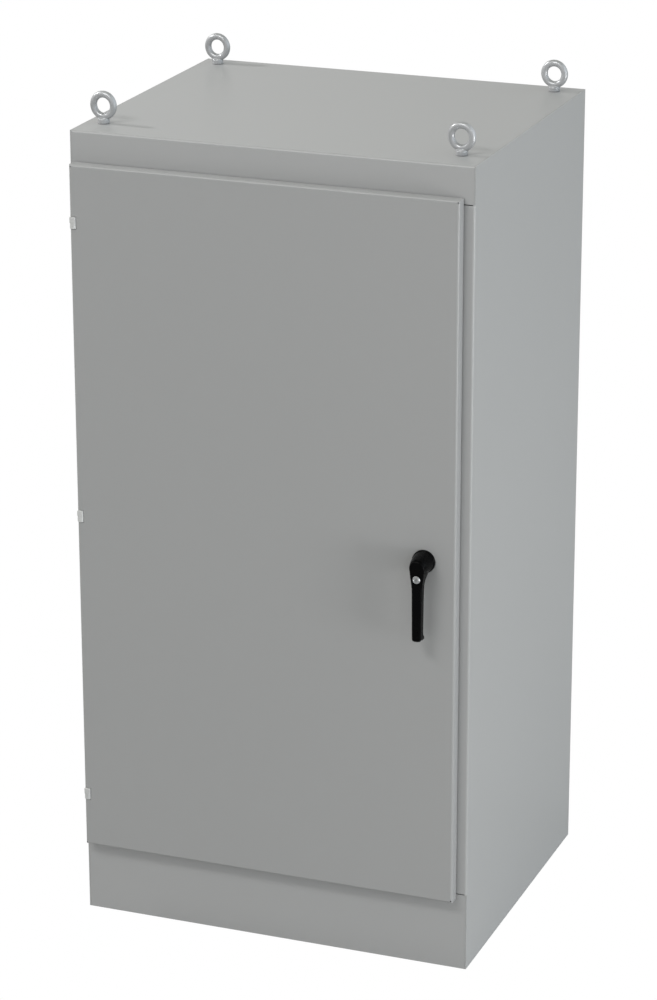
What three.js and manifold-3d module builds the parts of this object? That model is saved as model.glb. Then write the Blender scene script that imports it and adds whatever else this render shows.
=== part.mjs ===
// Automatic transfer switch in a free-standing single-door steel cabinet.
// Millimetres, +Z up. The origin is the centre of the cabinet's footprint, on the floor.
// The door is on the -Y side, and +X is to the right of someone who faces it.

import * as THREE from 'three';
import { mergeVertices } from 'three/addons/utils/BufferGeometryUtils.js';
import Module from 'manifold-3d';

const wasm = await Module();
wasm.setup();

// ---------------------------------------------------------------- driving dimensions

// Cabinet
const WIDTH = 917;
const DEPTH = 765;
const HEIGHT = 1832;
const SHEET = 2.7; // 12 gauge steel
const BEND = 5; // outer radius of a bend
const GAP = 0.3; // left between neighbours that touch
const HEADER = 82; // visible height of the header above the door frame's side flanges
const SILL = 180; // height of the plinth panel at its ends
const FLANGE = 60; // width of the door frame's side flanges
const TONGUE = 34; // how far header and plinth reach into the frame between the flanges
const LIP = 14; // collar that stands forward round the opening, for the gasket

// Door
const DOOR_STANDOFF = 30; // door face ahead of the frame's face
const DOOR_REVEAL = 3; // door edge ahead of the frame's face
const DOOR_INSET_HINGE = 8.5;
const DOOR_INSET_LATCH = 24;
const DOOR_OVER_HEADER = 14;
const DOOR_OVER_SILL = 9;
const GASKET_WIDTH = 17;

// Hinges
const HINGE_FROM_TOP = 128; // below the door's top edge
const HINGE_FROM_BOTTOM = 126;
const KNUCKLE_RADIUS = 7;
const KNUCKLE_HEIGHT = 26;
const KNUCKLE_PROUD = 4; // ahead of the door's face
const PIN_RADIUS = 3;
const LEAF = 3; // thickness of a hinge leaf
const DOOR_LEAF_REACH = 30;
const NOTCH_CLEARANCE = 1; // round the knuckle, in the door's corner

// Lifting eyes
const EYE_FROM_SIDE = { left: 42, right: 59.5 };
const EYE_TURN = -Math.PI / 40; // about the vertical, from square to the door
const EYE_FROM_FRONT = 84;
const EYE_FROM_BACK = 43;
const EYE_RING_RADIUS = 24.25;
const EYE_WIRE_RADIUS = 6.75;
const EYE_CENTRE_HEIGHT = 39.5;
const EYE_COLLAR_RADIUS = 13;
const EYE_COLLAR_HEIGHT = 12;
const EYE_SHANK_RADIUS = 6;
const EYE_SHANK_LENGTH = 30;
const EYE_HOLE_CLEARANCE = 0.8;
const RAIL_WIDTH = 50;
const RAIL_THICKNESS = 6;

// Handle and latch
const HANDLE_BELOW_MIDDLE = 1.5; // hub below the middle of the door
const LATCH_CLEARANCE = 1.65; // rod guide to the gasket
const ESCUTCHEON_RADIUS = 26;
const ESCUTCHEON_THICKNESS = 7;
const LEVER_PROUD = 49; // lever's front ahead of the door's face
const LEVER_THICKNESS = 19;
const LEVER_LENGTH = 169; // hub centre to the tip
const LEVER_HEAD_RADIUS = 18;
const LEVER_SHOULDER = Math.PI / 9; // how far below its middle the round head goes
const LEVER_NECK_WIDTH = 22.5;
const LEVER_NECK_DROP = 52;
const LEVER_TIP_WIDTH = 20.5;
const LEVER_FOOT_DEPTH = 9;
const LEVER_FOOT_HEIGHT = 12;
const DOME_BASE_RADIUS = 24;
const DOME_TOP_RADIUS = 21;
const SPINDLE_RADIUS = 6;
const KEY_DROP = 26; // key plug below the hub's centre
const KEY_RADIUS = 8.5;
const KEY_DEPTH = 10;
const KEY_PROUD = 1;
const KEY_SLOT = { width: 2, height: 10, depth: 5 };
const RUNNING = 0.3; // radial clearance of what turns or slides
const CAM_THROW = 15; // spindle to either rod's pin
const CAM_HALF_WIDTH = 11;
const CAM_THICKNESS = 4;
const CAM_BEHIND_FRAME = 6; // cam's front behind the frame's face
const ROD_WIDTH = 12;
const ROD_THICKNESS = 5;
const ROD_LAYER = 1.5; // gap between cam and rods
const ROLLER_RADIUS = 11;
const ROLLER_WIDTH = 8;
const ROLLER_PIN_RADIUS = 3;
const ROLLER_SHORT = 3; // rollers stop this far inside the frame opening
const GUIDE_WALL = 3;
const GUIDE_HEIGHT = 20;
const GUIDE_FROM_ROD_END = 250;

// Door furniture
const STIFFENER_WIDTH = 50;
const STIFFENER_DEPTH = 18;
const STIFFENER_END_GAP = 60;
const STIFFENER_FROM_OPENING = 75.8;
const STIFFENER_FROM_HANDLE = 108;
const POCKET_WIDTH = 320;
const POCKET_HEIGHT = 260;
const POCKET_DEPTH = 34;
const POCKET_WALL = 2;
const POCKET_BOTTOM = 640;

// Floor
const CABLE_CUT_WIDTH = 500;
const CABLE_CUT_DEPTH = 150;
const CABLE_CUT_FROM_BACK = 90;
const ANCHOR_RADIUS = 7;
const ANCHOR_INSET = 70;
const GLAND_LAP = 20;
const GLAND_THICKNESS = 3;

// Sub-panel
const PANEL_SIDE_MARGIN = 48;
const PANEL_BOTTOM = 140;
const PANEL_TOP_MARGIN = 130;
const PANEL_STANDOFF = 38;
const STUD_RADIUS = 5;
const STUD_INSET = 30;
const STUD_BEYOND_PANEL = 14;
const STUD_CLEARANCE = 1;

// Transfer switch on the sub-panel
const SWITCH_OFFSET = { x: -40, z: 89 }; // from the sub-panel's middle
const BASE_MARGIN = 23; // beyond the outer poles
const BASE_HEIGHT = 520;
const BASE_DEPTH = 55;
const POLES = ['a', 'b', 'c'];
const POLE_PITCH = 118;
const CHUTE_HEIGHT = 120;
const CHUTE_DEPTH = 105;
const CHUTE_FROM_SHAFT = 62; // shaft centre to the near face of either bank
const SHAFT_RADIUS = 13;
const SHAFT_FROM_BASE = 42;
const SHAFT_OVERHANG = 52;
const BLADE_WIDTH = 26;
const BLADE_THICKNESS = 8;
const BLADE_LENGTH = 84;
const BLADE_HUB = 20;
const THROW_DEGREES = 40;
const CHEEK_THICKNESS = 10;
const CHEEK_HEIGHT = 60;
const TERMINAL_HEIGHT = 58;
const TERMINAL_DEPTH = 62;
const LOAD_DROP = 90; // load terminals below the base
const OPERATOR_LENGTH = 120;
const OPERATOR_RADIUS = 6;
const OPERATOR_COLLAR = 20;
const OPERATOR_COLLAR_WIDTH = 16;

// Solenoid
const YOKE_WIDTH = 74;
const YOKE_HEIGHT = 96;
const YOKE_DEPTH = 60;
const YOKE_BAR = 12;
const COIL_RADIUS = 22;
const PLUNGER_RADIUS = 9;
const PLUNGER_TRAVEL = 22;
const PLUNGER_HEAD_RADIUS = 13;
const PLUNGER_HEAD = 8;
const SOLENOID_GAP = 22;
const SOLENOID_DROP = 100; // solenoid's middle below the shaft
const SOLENOID_BRACKET = 50;
const CRANK_REACH = 32; // shaft centre to the nose that pushes the plunger
const CRANK_HUB = 18;
const CRANK_WIDTH = 14;
const CRANK_NOSE = 6;
const CRANK_GAP = 2; // nose to plunger head

// Controller
const CONTROLLER_WIDTH = 230;
const CONTROLLER_HEIGHT = 170;
const CONTROLLER_DEPTH = 70;
const CONTROLLER_WALL = 3;
const CONTROLLER_COVER = 4;
const CONTROLLER_FROM_TOP = 117; // below the sub-panel's top edge
const PANEL_EDGE = 15; // what stands along the sub-panel's edges keeps this far in
const BUTTON_RADIUS = 9;
const BUTTON_PROUD = 9;
const BUTTON_STEM = 6;
const BUTTON_PITCH = 46;
const BUTTON_DROP = 48;

// Other parts on the sub-panel
const TRANSFORMER_SIZE = { width: 110, height: 96, depth: 88, core: [0.15, 0.75] }; // core: shares of the depth
const TRANSFORMER_BELOW_CONTROLLER = 90;
const BAR_WIDTH = 300;
const BAR_HEIGHT = 24;
const BAR_THICKNESS = 8;
const BAR_FOOT = 20;
const BAR_STANDOFF = 26;
const BAR_OFFSET = 200; // right of the sub-panel's middle
const GROUND_FROM_BOTTOM = 100;
const NEUTRAL_FROM_BOTTOM = 250;
const DUCT_SIZE = { width: 55, depth: 62, wall: 2.5 };
const DUCT_FROM_BOTTOM = 260;
const DUCT_FROM_TOP = 102;

// ---------------------------------------------------------------- derived places

const HALF_WIDTH = WIDTH / 2;
const FRONT = -DEPTH / 2;
const BACK = DEPTH / 2;
const INSIDE_X = HALF_WIDTH - SHEET - GAP; // half width of what fits between the side sheets
const SEAM = HEIGHT - HEADER;
const OPENING_X = HALF_WIDTH - FLANGE - SHEET;
const TONGUE_X = OPENING_X - GAP;
const OPENING_TOP = SEAM - TONGUE;
const OPENING_BOTTOM = SILL + TONGUE;

const DOOR = {
  left: -HALF_WIDTH + DOOR_INSET_HINGE,
  right: HALF_WIDTH - DOOR_INSET_LATCH,
  bottom: SILL - DOOR_OVER_SILL,
  top: SEAM + DOOR_OVER_HEADER,
  face: FRONT - DOOR_STANDOFF,
  edge: FRONT - DOOR_REVEAL,
  inside: FRONT - DOOR_STANDOFF + SHEET,
};
const LIP_FRONT = FRONT - LIP;

const HINGE = {
  x: DOOR.left + KNUCKLE_RADIUS,
  y: DOOR.face - KNUCKLE_PROUD + KNUCKLE_RADIUS,
};

const HINGE_HEIGHTS = {
  bottom: DOOR.bottom + HINGE_FROM_BOTTOM,
  middle: (DOOR.bottom + HINGE_FROM_BOTTOM + DOOR.top - HINGE_FROM_TOP) / 2,
  top: DOOR.top - HINGE_FROM_TOP,
};

const GASKET_OVERLAP = (GASKET_WIDTH - SHEET) / 2; // gasket beyond either side of the lip
const GUIDE_HALF = ROD_WIDTH / 2 + GUIDE_WALL;
const HANDLE_X = OPENING_X - GASKET_OVERLAP - LATCH_CLEARANCE - GUIDE_HALF - CAM_THROW;
const HANDLE_HEIGHT = (DOOR.bottom + DOOR.top) / 2 - HANDLE_BELOW_MIDDLE;
const LEVER_FRONT = DOOR.face - LEVER_PROUD;
const LEVER_BACK = LEVER_FRONT + LEVER_THICKNESS;
const ESCUTCHEON_FRONT = DOOR.face - GAP - ESCUTCHEON_THICKNESS;
const CAM_FRONT = FRONT + CAM_BEHIND_FRAME;
const CAM_BACK = CAM_FRONT + CAM_THICKNESS;
const ROD_FRONT = CAM_BACK + ROD_LAYER;
const ROD_BACK = ROD_FRONT + ROD_THICKNESS;
const ROD_Y = (ROD_FRONT + ROD_BACK) / 2;

const PANEL_BACK = BACK - SHEET - PANEL_STANDOFF;
const PANEL_FRONT = PANEL_BACK - SHEET;
const PANEL_HALF = HALF_WIDTH - PANEL_SIDE_MARGIN;
const PANEL_TOP = HEIGHT - PANEL_TOP_MARGIN;
const ON_PANEL = PANEL_FRONT - GAP; // back of whatever is fixed to the sub-panel

const STIFFENER_LEFT = -OPENING_X + STIFFENER_FROM_OPENING;
const STIFFENER_RIGHT = HANDLE_X - STIFFENER_FROM_HANDLE;

const SWITCH_X = SWITCH_OFFSET.x;
const SWITCH_Z = (PANEL_BOTTOM + PANEL_TOP) / 2 + SWITCH_OFFSET.z;
const BASE_WIDTH = POLES.length * POLE_PITCH + 2 * BASE_MARGIN;
const BASE_FRONT = ON_PANEL - BASE_DEPTH;
const SHAFT_Y = BASE_FRONT - SHAFT_FROM_BASE;

const CONTROLLER_X = PANEL_HALF - PANEL_EDGE - CONTROLLER_WIDTH / 2;
const CONTROLLER_Z = PANEL_TOP - CONTROLLER_FROM_TOP - CONTROLLER_HEIGHT / 2;
const TRANSFORMER = {
  ...TRANSFORMER_SIZE,
  x: PANEL_HALF - PANEL_EDGE - TRANSFORMER_SIZE.width / 2,
  z: CONTROLLER_Z - (CONTROLLER_HEIGHT + TRANSFORMER_SIZE.height) / 2 - TRANSFORMER_BELOW_CONTROLLER,
};
const NEUTRAL = { x: BAR_OFFSET, z: PANEL_BOTTOM + NEUTRAL_FROM_BOTTOM };
const GROUND = { x: BAR_OFFSET, z: PANEL_BOTTOM + GROUND_FROM_BOTTOM };
const DUCT = {
  ...DUCT_SIZE,
  x: -PANEL_HALF + PANEL_EDGE + DUCT_SIZE.width / 2,
  z: (PANEL_BOTTOM + DUCT_FROM_BOTTOM + PANEL_TOP - DUCT_FROM_TOP) / 2,
  height: PANEL_TOP - DUCT_FROM_TOP - PANEL_BOTTOM - DUCT_FROM_BOTTOM,
};

// ---------------------------------------------------------------- shape tools

const span = (middle, width) => [middle - width / 2, middle + width / 2];

/** A span drawn in by the same amount at both ends. */
const overWall = ([low, high], inset) => [low + inset, high - inset];

const at = (x, y, z) => new THREE.Vector3(x, y, z);
const flat = (u, v) => new THREE.Vector2(u, v);
const AXES = { x: at(1, 0, 0), y: at(0, 1, 0), z: at(0, 0, 1) };
const UP = AXES.y; // a three.js cylinder stands along its own Y
const ARC_STEPS = 4;
const ROUND = 20; // sides of a plain round piece

function block([x0, x1], [y0, y1], [z0, z1]) {
  const geometry = new THREE.BoxGeometry(x1 - x0, y1 - y0, z1 - z0);
  return geometry.translate((x0 + x1) / 2, (y0 + y1) / 2, (z0 + z1) / 2);
}

/** A cylinder or cone along a main axis, from one place on that axis to another. */
function round(axis, [from, to], centre, radius, endRadius = radius, sides = ROUND) {
  const geometry = new THREE.CylinderGeometry(endRadius, radius, to - from, sides);
  geometry.applyQuaternion(new THREE.Quaternion().setFromUnitVectors(UP, AXES[axis]));
  const place = centre.clone().addScaledVector(AXES[axis], (from + to) / 2);
  return geometry.translate(place.x, place.y, place.z);
}

/** An outline pushed along Z, or along X (outline in Y, Z), or along Y (outline in X, Z). */
function extrude(outline, axis, [from, to]) {
  const shape = outline instanceof THREE.Shape ? outline : new THREE.Shape(outline);
  const options = { depth: to - from, bevelEnabled: false, curveSegments: 6 };
  const geometry = new THREE.ExtrudeGeometry(shape, options);
  if (axis === 'z') return geometry.translate(0, 0, from);
  if (axis === 'x') {
    const alongX = new THREE.Matrix4().makeBasis(AXES.y, AXES.z, AXES.x);
    return geometry.applyMatrix4(alongX).translate(from, 0, 0);
  }
  const backFromY = new THREE.Matrix4().makeBasis(AXES.x, AXES.z, AXES.y.clone().negate());
  return geometry.applyMatrix4(backFromY).translate(0, to, 0);
}

/** The points of an arc that is tangent to both legs of a corner. */
function cornerArc(before, corner, after, radius) {
  const into = corner.clone().sub(before).normalize();
  const out = after.clone().sub(corner).normalize();
  const turn = Math.atan2(into.cross(out), into.dot(out));
  const start = corner.clone().addScaledVector(into, -radius * Math.tan(Math.abs(turn) / 2));
  const centre = start.clone().addScaledVector(flat(-into.y, into.x), Math.sign(turn) * radius);
  const step = turn / ARC_STEPS;
  return Array.from({ length: ARC_STEPS + 1 }, (_, i) => start.clone().rotateAround(centre, step * i));
}

/** The section of a folded sheet: the points are its face, and the metal lies to the left of them. */
function foldedSheet(points, thickness = SHEET, radius = BEND) {
  const normal = (a, b) => flat(a.y - b.y, b.x - a.x).normalize();
  const last = points.length - 1;
  const inner = points.map((point, i) => {
    const first = normal(points[Math.max(i - 1, 0)], points[Math.max(i, 1)]);
    const second = normal(points[Math.min(i, last - 1)], points[Math.min(i + 1, last)]);
    const mitre = first.clone().add(second).divideScalar(1 + first.dot(second));
    return point.clone().addScaledVector(mitre, thickness);
  });
  const rounded = (line, leftRadius, rightRadius) => line.flatMap((point, i) => {
    if (i === 0 || i === last) return [point];
    const turnsLeft = point.clone().sub(line[i - 1]).cross(line[i + 1].clone().sub(point)) > 0;
    return cornerArc(line[i - 1], point, line[i + 1], turnsLeft ? leftRadius : rightRadius);
  });
  const face = rounded(points, radius, radius - thickness);
  const back = rounded(inner, radius - thickness, radius);
  return [...face, ...back.reverse()];
}

function toSolid(geometry) {
  const plain = geometry.clone();
  plain.deleteAttribute('normal');
  plain.deleteAttribute('uv');
  const merged = mergeVertices(plain, 1e-3);
  return new wasm.Manifold(new wasm.Mesh({
    numProp: 3,
    vertProperties: new Float32Array(merged.attributes.position.array),
    triVerts: new Uint32Array(merged.index.array),
  }));
}

function toGeometry(solid) {
  const mesh = solid.getMesh();
  const geometry = new THREE.BufferGeometry();
  geometry.setAttribute('position', new THREE.BufferAttribute(new Float32Array(mesh.vertProperties), 3));
  geometry.setIndex(new THREE.BufferAttribute(new Uint32Array(mesh.triVerts), 1));
  geometry.computeVertexNormals();
  return geometry;
}

const join = (...parts) => toGeometry(parts.map(toSolid).reduce((whole, part) => whole.add(part)));
const cut = (part, ...tools) => (
  toGeometry(tools.map(toSolid).reduce((whole, tool) => whole.subtract(tool), toSolid(part)))
);
const common = (...parts) => toGeometry(parts.map(toSolid).reduce((whole, part) => whole.intersect(part)));

// ---------------------------------------------------------------- materials

const finish = (color, roughness, metalness) => (
  new THREE.MeshStandardMaterial({ color, roughness, metalness })
);
const PAINT = finish(0xa9aba9, 0.55, 0.1);
const ZINC = finish(0xb9bcbe, 0.35, 0.9);
const BLACK = finish(0x0a0a0a, 0.25, 0.0);
const RUBBER = finish(0x1c1c1c, 0.9, 0.0);
const COPPER = finish(0xb87350, 0.3, 1.0);
const MOULDED = finish(0x2b2b2e, 0.6, 0.0);
const CHUTE = finish(0x8d3f2c, 0.7, 0.0);
const WHITE_PANEL = finish(0xe6e6e2, 0.5, 0.1);
const DUCT_GREY = finish(0xb4b7b8, 0.6, 0.0);
const IRON = finish(0x55585c, 0.5, 0.8);
const COIL_TAPE = finish(0x7c2f1d, 0.6, 0.0);
const RED = finish(0xb3261e, 0.4, 0.0);
const GREEN = finish(0x2e7d46, 0.4, 0.0);

const object = new THREE.Group();

function add(name, geometry, material) {
  const mesh = new THREE.Mesh(geometry, material);
  mesh.name = name;
  object.add(mesh);
}

// ---------------------------------------------------------------- cabinet shell

/** Side sheet with its door-frame flange and gasket lip; side is 1 for the right and -1 for the left. */
function sidePanel(side) {
  const inside = side * (HALF_WIDTH - SHEET);
  const outside = side * HALF_WIDTH;
  const lipX = side * (HALF_WIDTH - FLANGE);
  const section = [flat(lipX, LIP_FRONT), flat(lipX, FRONT), flat(outside, FRONT), flat(outside, BACK)];
  const across = [Math.min(inside, outside), Math.max(inside, outside)];
  return join(
    extrude(foldedSheet(side > 0 ? section : section.reverse()), 'z', [SILL + GAP, SEAM - GAP]),
    block(across, [FRONT + BEND, BACK], [0, HEIGHT]),
    block(across, [FRONT, FRONT + 2 * BEND], [0, SILL]),
    block(across, [FRONT, FRONT + 2 * BEND], [SEAM, HEIGHT]),
  );
}

/** What has to be cut away beside a tongue that reaches between the side flanges. */
function besideTongue(side, height) {
  const across = side > 0 ? [TONGUE_X, WIDTH] : [-WIDTH, -TONGUE_X];
  return block(across, [LIP_FRONT - SHEET, FRONT + 2 * BEND], height);
}

const eyePlaces = [];
for (const [end, y] of [['front', FRONT + EYE_FROM_FRONT], ['back', BACK - EYE_FROM_BACK]]) {
  for (const [hand, side] of [['left', -1], ['right', 1]]) {
    eyePlaces.push({ name: `${end}_${hand}`, side, x: side * (HALF_WIDTH - EYE_FROM_SIDE[hand]), y });
  }
}

function eyeHole({ x, y }) {
  const radius = EYE_SHANK_RADIUS + EYE_HOLE_CLEARANCE;
  return round('z', [HEIGHT - EYE_SHANK_LENGTH, HEIGHT + SHEET], at(x, y, 0), radius);
}

function topPanel() {
  const section = foldedSheet([
    flat(BACK, HEIGHT), flat(FRONT, HEIGHT), flat(FRONT, OPENING_TOP), flat(LIP_FRONT, OPENING_TOP),
  ]);
  const beside = [-1, 1].map((side) => besideTongue(side, [0, SEAM]));
  return cut(extrude(section, 'x', [-INSIDE_X, INSIDE_X]), ...beside, ...eyePlaces.map(eyeHole));
}

function plinthPanel() {
  const lipTip = flat(LIP_FRONT, OPENING_BOTTOM);
  const section = foldedSheet([lipTip, flat(FRONT, OPENING_BOTTOM), flat(FRONT, 0)]);
  const beside = [-1, 1].map((side) => besideTongue(side, [SILL, HEIGHT]));
  return cut(extrude(section, 'x', [-INSIDE_X, INSIDE_X]), ...beside);
}

const studHeights = [PANEL_BOTTOM + STUD_INSET, PANEL_TOP - STUD_INSET];
const studPlaces = [-1, 1].flatMap((side) => studHeights.map((z) => (
  at(side * (PANEL_HALF - STUD_INSET), 0, z)
)));

function backPanel() {
  const sheet = block([-INSIDE_X, INSIDE_X], [BACK - SHEET, BACK], [SHEET + GAP, HEIGHT - SHEET - GAP]);
  const studs = studPlaces.map((place) => (
    round('y', [PANEL_FRONT - STUD_BEYOND_PANEL, BACK - SHEET / 2], place, STUD_RADIUS)
  ));
  return join(sheet, ...studs);
}

const CABLE_CUT = {
  x: [-CABLE_CUT_WIDTH / 2, CABLE_CUT_WIDTH / 2],
  y: [BACK - CABLE_CUT_FROM_BACK - CABLE_CUT_DEPTH, BACK - CABLE_CUT_FROM_BACK],
};

function floorPanel() {
  const sheet = block([-INSIDE_X, INSIDE_X], [FRONT + SHEET + GAP, BACK], [0, SHEET]);
  const opening = block(CABLE_CUT.x, CABLE_CUT.y, [-SHEET, 2 * SHEET]);
  const anchors = [-1, 1].flatMap((side) => [FRONT + ANCHOR_INSET, BACK - ANCHOR_INSET].map((y) => (
    round('z', [-SHEET, 2 * SHEET], at(side * (HALF_WIDTH - ANCHOR_INSET), y, 0), ANCHOR_RADIUS)
  )));
  return cut(sheet, opening, ...anchors);
}

function glandPlate() {
  const height = [SHEET + GAP, SHEET + GAP + GLAND_THICKNESS];
  return block(overWall(CABLE_CUT.x, -GLAND_LAP), overWall(CABLE_CUT.y, -GLAND_LAP), height);
}

/** Flat bar under the top sheet, from the front eye to the back eye of one side. */
function liftingRail(side) {
  const eyes = eyePlaces.filter((eye) => eye.side === side);
  const under = HEIGHT - SHEET - GAP;
  const bar = block(
    span(eyes[0].x, RAIL_WIDTH),
    [FRONT + EYE_FROM_FRONT - RAIL_WIDTH / 2, BACK - EYE_FROM_BACK + RAIL_WIDTH / 2],
    [under - RAIL_THICKNESS, under],
  );
  return cut(bar, ...eyes.map(eyeHole));
}

function liftingEye({ x, y }) {
  const ring = new THREE.TorusGeometry(EYE_RING_RADIUS, EYE_WIRE_RADIUS, 8, 20);
  ring.rotateX(Math.PI / 2).rotateZ(EYE_TURN).translate(x, y, HEIGHT + EYE_CENTRE_HEIGHT);
  const foot = at(x, y, HEIGHT);
  return join(
    ring,
    round('z', [GAP, EYE_COLLAR_HEIGHT], foot, EYE_COLLAR_RADIUS),
    round('z', [-EYE_SHANK_LENGTH, EYE_COLLAR_HEIGHT / 2], foot, EYE_SHANK_RADIUS),
  );
}

add('left_side_panel', sidePanel(-1), PAINT);
add('right_side_panel', sidePanel(1), PAINT);
add('top_panel', topPanel(), PAINT);
add('plinth_panel', plinthPanel(), PAINT);
add('back_panel', backPanel(), PAINT);
add('floor_panel', floorPanel(), PAINT);
add('gland_plate', glandPlate(), ZINC);
add('lifting_rail_left', liftingRail(-1), ZINC);
add('lifting_rail_right', liftingRail(1), ZINC);
for (const eye of eyePlaces) add(`lifting_eye_${eye.name}`, liftingEye(eye), ZINC);

// ---------------------------------------------------------------- hinges

/** The space cut out of the door's corner for one hinge's knuckle and its arm. */
function hingeNotch(height) {
  return block(
    [DOOR.left - BEND, HINGE.x + KNUCKLE_RADIUS + NOTCH_CLEARANCE],
    [DOOR.face - BEND, FRONT],
    [height - KNUCKLE_HEIGHT / 2 - NOTCH_CLEARANCE, height + KNUCKLE_HEIGHT / 2 + NOTCH_CLEARANCE],
  );
}

/** Lower half of a knuckle with its pin, an arm back to the frame and a plate on the frame's face. */
function frameLeaf(height) {
  const bottom = height - KNUCKLE_HEIGHT / 2;
  const top = height + KNUCKLE_HEIGHT / 2;
  const middle = height - GAP;
  const axis = at(HINGE.x, HINGE.y, 0);
  const plateFront = FRONT - GAP - LEAF;
  return join(
    round('z', [bottom, middle], axis, KNUCKLE_RADIUS),
    round('z', [bottom + GAP, top - LEAF], axis, PIN_RADIUS),
    block(span(HINGE.x, LEAF), [HINGE.y, plateFront + LEAF / 2], [bottom, middle]),
    block([DOOR.left, HINGE.x + 2 * KNUCKLE_RADIUS], [plateFront, FRONT - GAP], [bottom, top]),
  );
}

/** Upper half of a knuckle, closed on top, with a plate that runs along the back of the door's face. */
function doorLeaf(height) {
  const bottom = height + GAP;
  const top = height + KNUCKLE_HEIGHT / 2;
  const axis = at(HINGE.x, HINGE.y, 0);
  const back = DOOR.inside + GAP;
  const bored = cut(
    join(
      round('z', [bottom, top], axis, KNUCKLE_RADIUS),
      block([HINGE.x + PIN_RADIUS, HINGE.x + DOOR_LEAF_REACH], [back, back + LEAF], [bottom, top]),
    ),
    round('z', [bottom - LEAF, top - LEAF + GAP], axis, PIN_RADIUS + RUNNING),
  );
  const flare = block(
    [HINGE.x + KNUCKLE_RADIUS + 2 * NOTCH_CLEARANCE, HINGE.x + DOOR_LEAF_REACH],
    [back, back + LEAF],
    [bottom - KNUCKLE_HEIGHT, top + KNUCKLE_HEIGHT / 2],
  );
  return join(bored, flare);
}

for (const [place, height] of Object.entries(HINGE_HEIGHTS)) {
  add(`hinge_frame_leaf_${place}`, frameLeaf(height), ZINC);
  add(`hinge_door_leaf_${place}`, doorLeaf(height), ZINC);
}

// ---------------------------------------------------------------- door

/** A pan with bent edges: the shape common to a plan section and a side section. */
function panVolume(inset) {
  const depth = DOOR.edge - DOOR.face;
  const radius = BEND - inset;
  const front = DOOR.face + inset;
  const back = inset > 0 ? DOOR.edge + depth : DOOR.edge;
  const hoop = (low, high) => {
    const corners = [flat(low, back), flat(low, front), flat(high, front), flat(high, back)];
    return [
      corners[0],
      ...cornerArc(corners[0], corners[1], corners[2], radius),
      ...cornerArc(corners[1], corners[2], corners[3], radius),
      corners[3],
    ];
  };
  const across = [DOOR.left + inset, DOOR.right - inset];
  const upright = [DOOR.bottom + inset, DOOR.top - inset];
  const sideView = hoop(...upright).map(({ x, y }) => flat(y, x)).reverse();
  return common(extrude(hoop(...across), 'z', upright), extrude(sideView, 'x', across));
}

function doorPanel() {
  const spindleHole = round('y', [DOOR.face - BEND, DOOR.inside + BEND], at(HANDLE_X, 0, HANDLE_HEIGHT),
    SPINDLE_RADIUS + 2 * RUNNING);
  return cut(panVolume(0), panVolume(SHEET), spindleHole, ...Object.values(HINGE_HEIGHTS).map(hingeNotch));
}

/** Square ring that presses on the lip round the frame's opening. */
function doorGasket() {
  const y = [DOOR.inside + GAP, LIP_FRONT - GAP];
  const outer = {
    x: OPENING_X + SHEET + GASKET_OVERLAP,
    bottom: OPENING_BOTTOM - GASKET_OVERLAP,
    top: OPENING_TOP + GASKET_OVERLAP,
  };
  const ring = block([-outer.x, outer.x], y, [outer.bottom, outer.top]);
  const hole = block(
    [-outer.x + GASKET_WIDTH, outer.x - GASKET_WIDTH],
    [y[0] - BEND, y[1] + BEND],
    [outer.bottom + GASKET_WIDTH, outer.top - GASKET_WIDTH],
  );
  return cut(ring, hole);
}

/** Hat-section channel, open side to the door. */
function stiffener(x) {
  const foot = STIFFENER_WIDTH / 4;
  const back = DOOR.inside + GAP;
  const deep = back + STIFFENER_DEPTH;
  const half = STIFFENER_WIDTH / 2;
  const section = foldedSheet([
    flat(x + half + foot, back + SHEET), flat(x + half, back + SHEET), flat(x + half, deep),
    flat(x - half, deep), flat(x - half, back + SHEET), flat(x - half - foot, back + SHEET),
  ], SHEET, SHEET + 1);
  return extrude(section, 'z', [OPENING_BOTTOM + STIFFENER_END_GAP, OPENING_TOP - STIFFENER_END_GAP]);
}

/** Open-topped pocket for drawings, fixed to the back of the door. */
function printPocket() {
  const x = (STIFFENER_LEFT + STIFFENER_RIGHT) / 2;
  const across = span(x, POCKET_WIDTH);
  const back = DOOR.inside + GAP;
  const top = POCKET_BOTTOM + POCKET_HEIGHT;
  return cut(
    block(across, [back, back + POCKET_DEPTH], [POCKET_BOTTOM, top]),
    block(
      overWall(across, POCKET_WALL),
      [back + POCKET_WALL, back + POCKET_DEPTH - POCKET_WALL],
      [POCKET_BOTTOM + POCKET_WALL, top + POCKET_WALL],
    ),
    block(
      overWall(across, -BEND),
      [back + POCKET_WALL, back + 2 * POCKET_DEPTH],
      [top - POCKET_DEPTH, top + BEND],
    ),
  );
}

add('door_panel', doorPanel(), PAINT);
add('door_gasket', doorGasket(), RUBBER);
add('door_stiffener_left', stiffener(STIFFENER_LEFT), PAINT);
add('door_stiffener_right', stiffener(STIFFENER_RIGHT), PAINT);
add('print_pocket', printPocket(), MOULDED);

// ---------------------------------------------------------------- handle and latch

function escutcheon() {
  const hub = at(HANDLE_X, 0, HANDLE_HEIGHT);
  return cut(
    round('y', [ESCUTCHEON_FRONT, DOOR.face - GAP], hub, ESCUTCHEON_RADIUS, ESCUTCHEON_RADIUS, 28),
    round('y', [ESCUTCHEON_FRONT - BEND, DOOR.face + BEND], hub, SPINDLE_RADIUS + 2 * RUNNING),
  );
}

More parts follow.
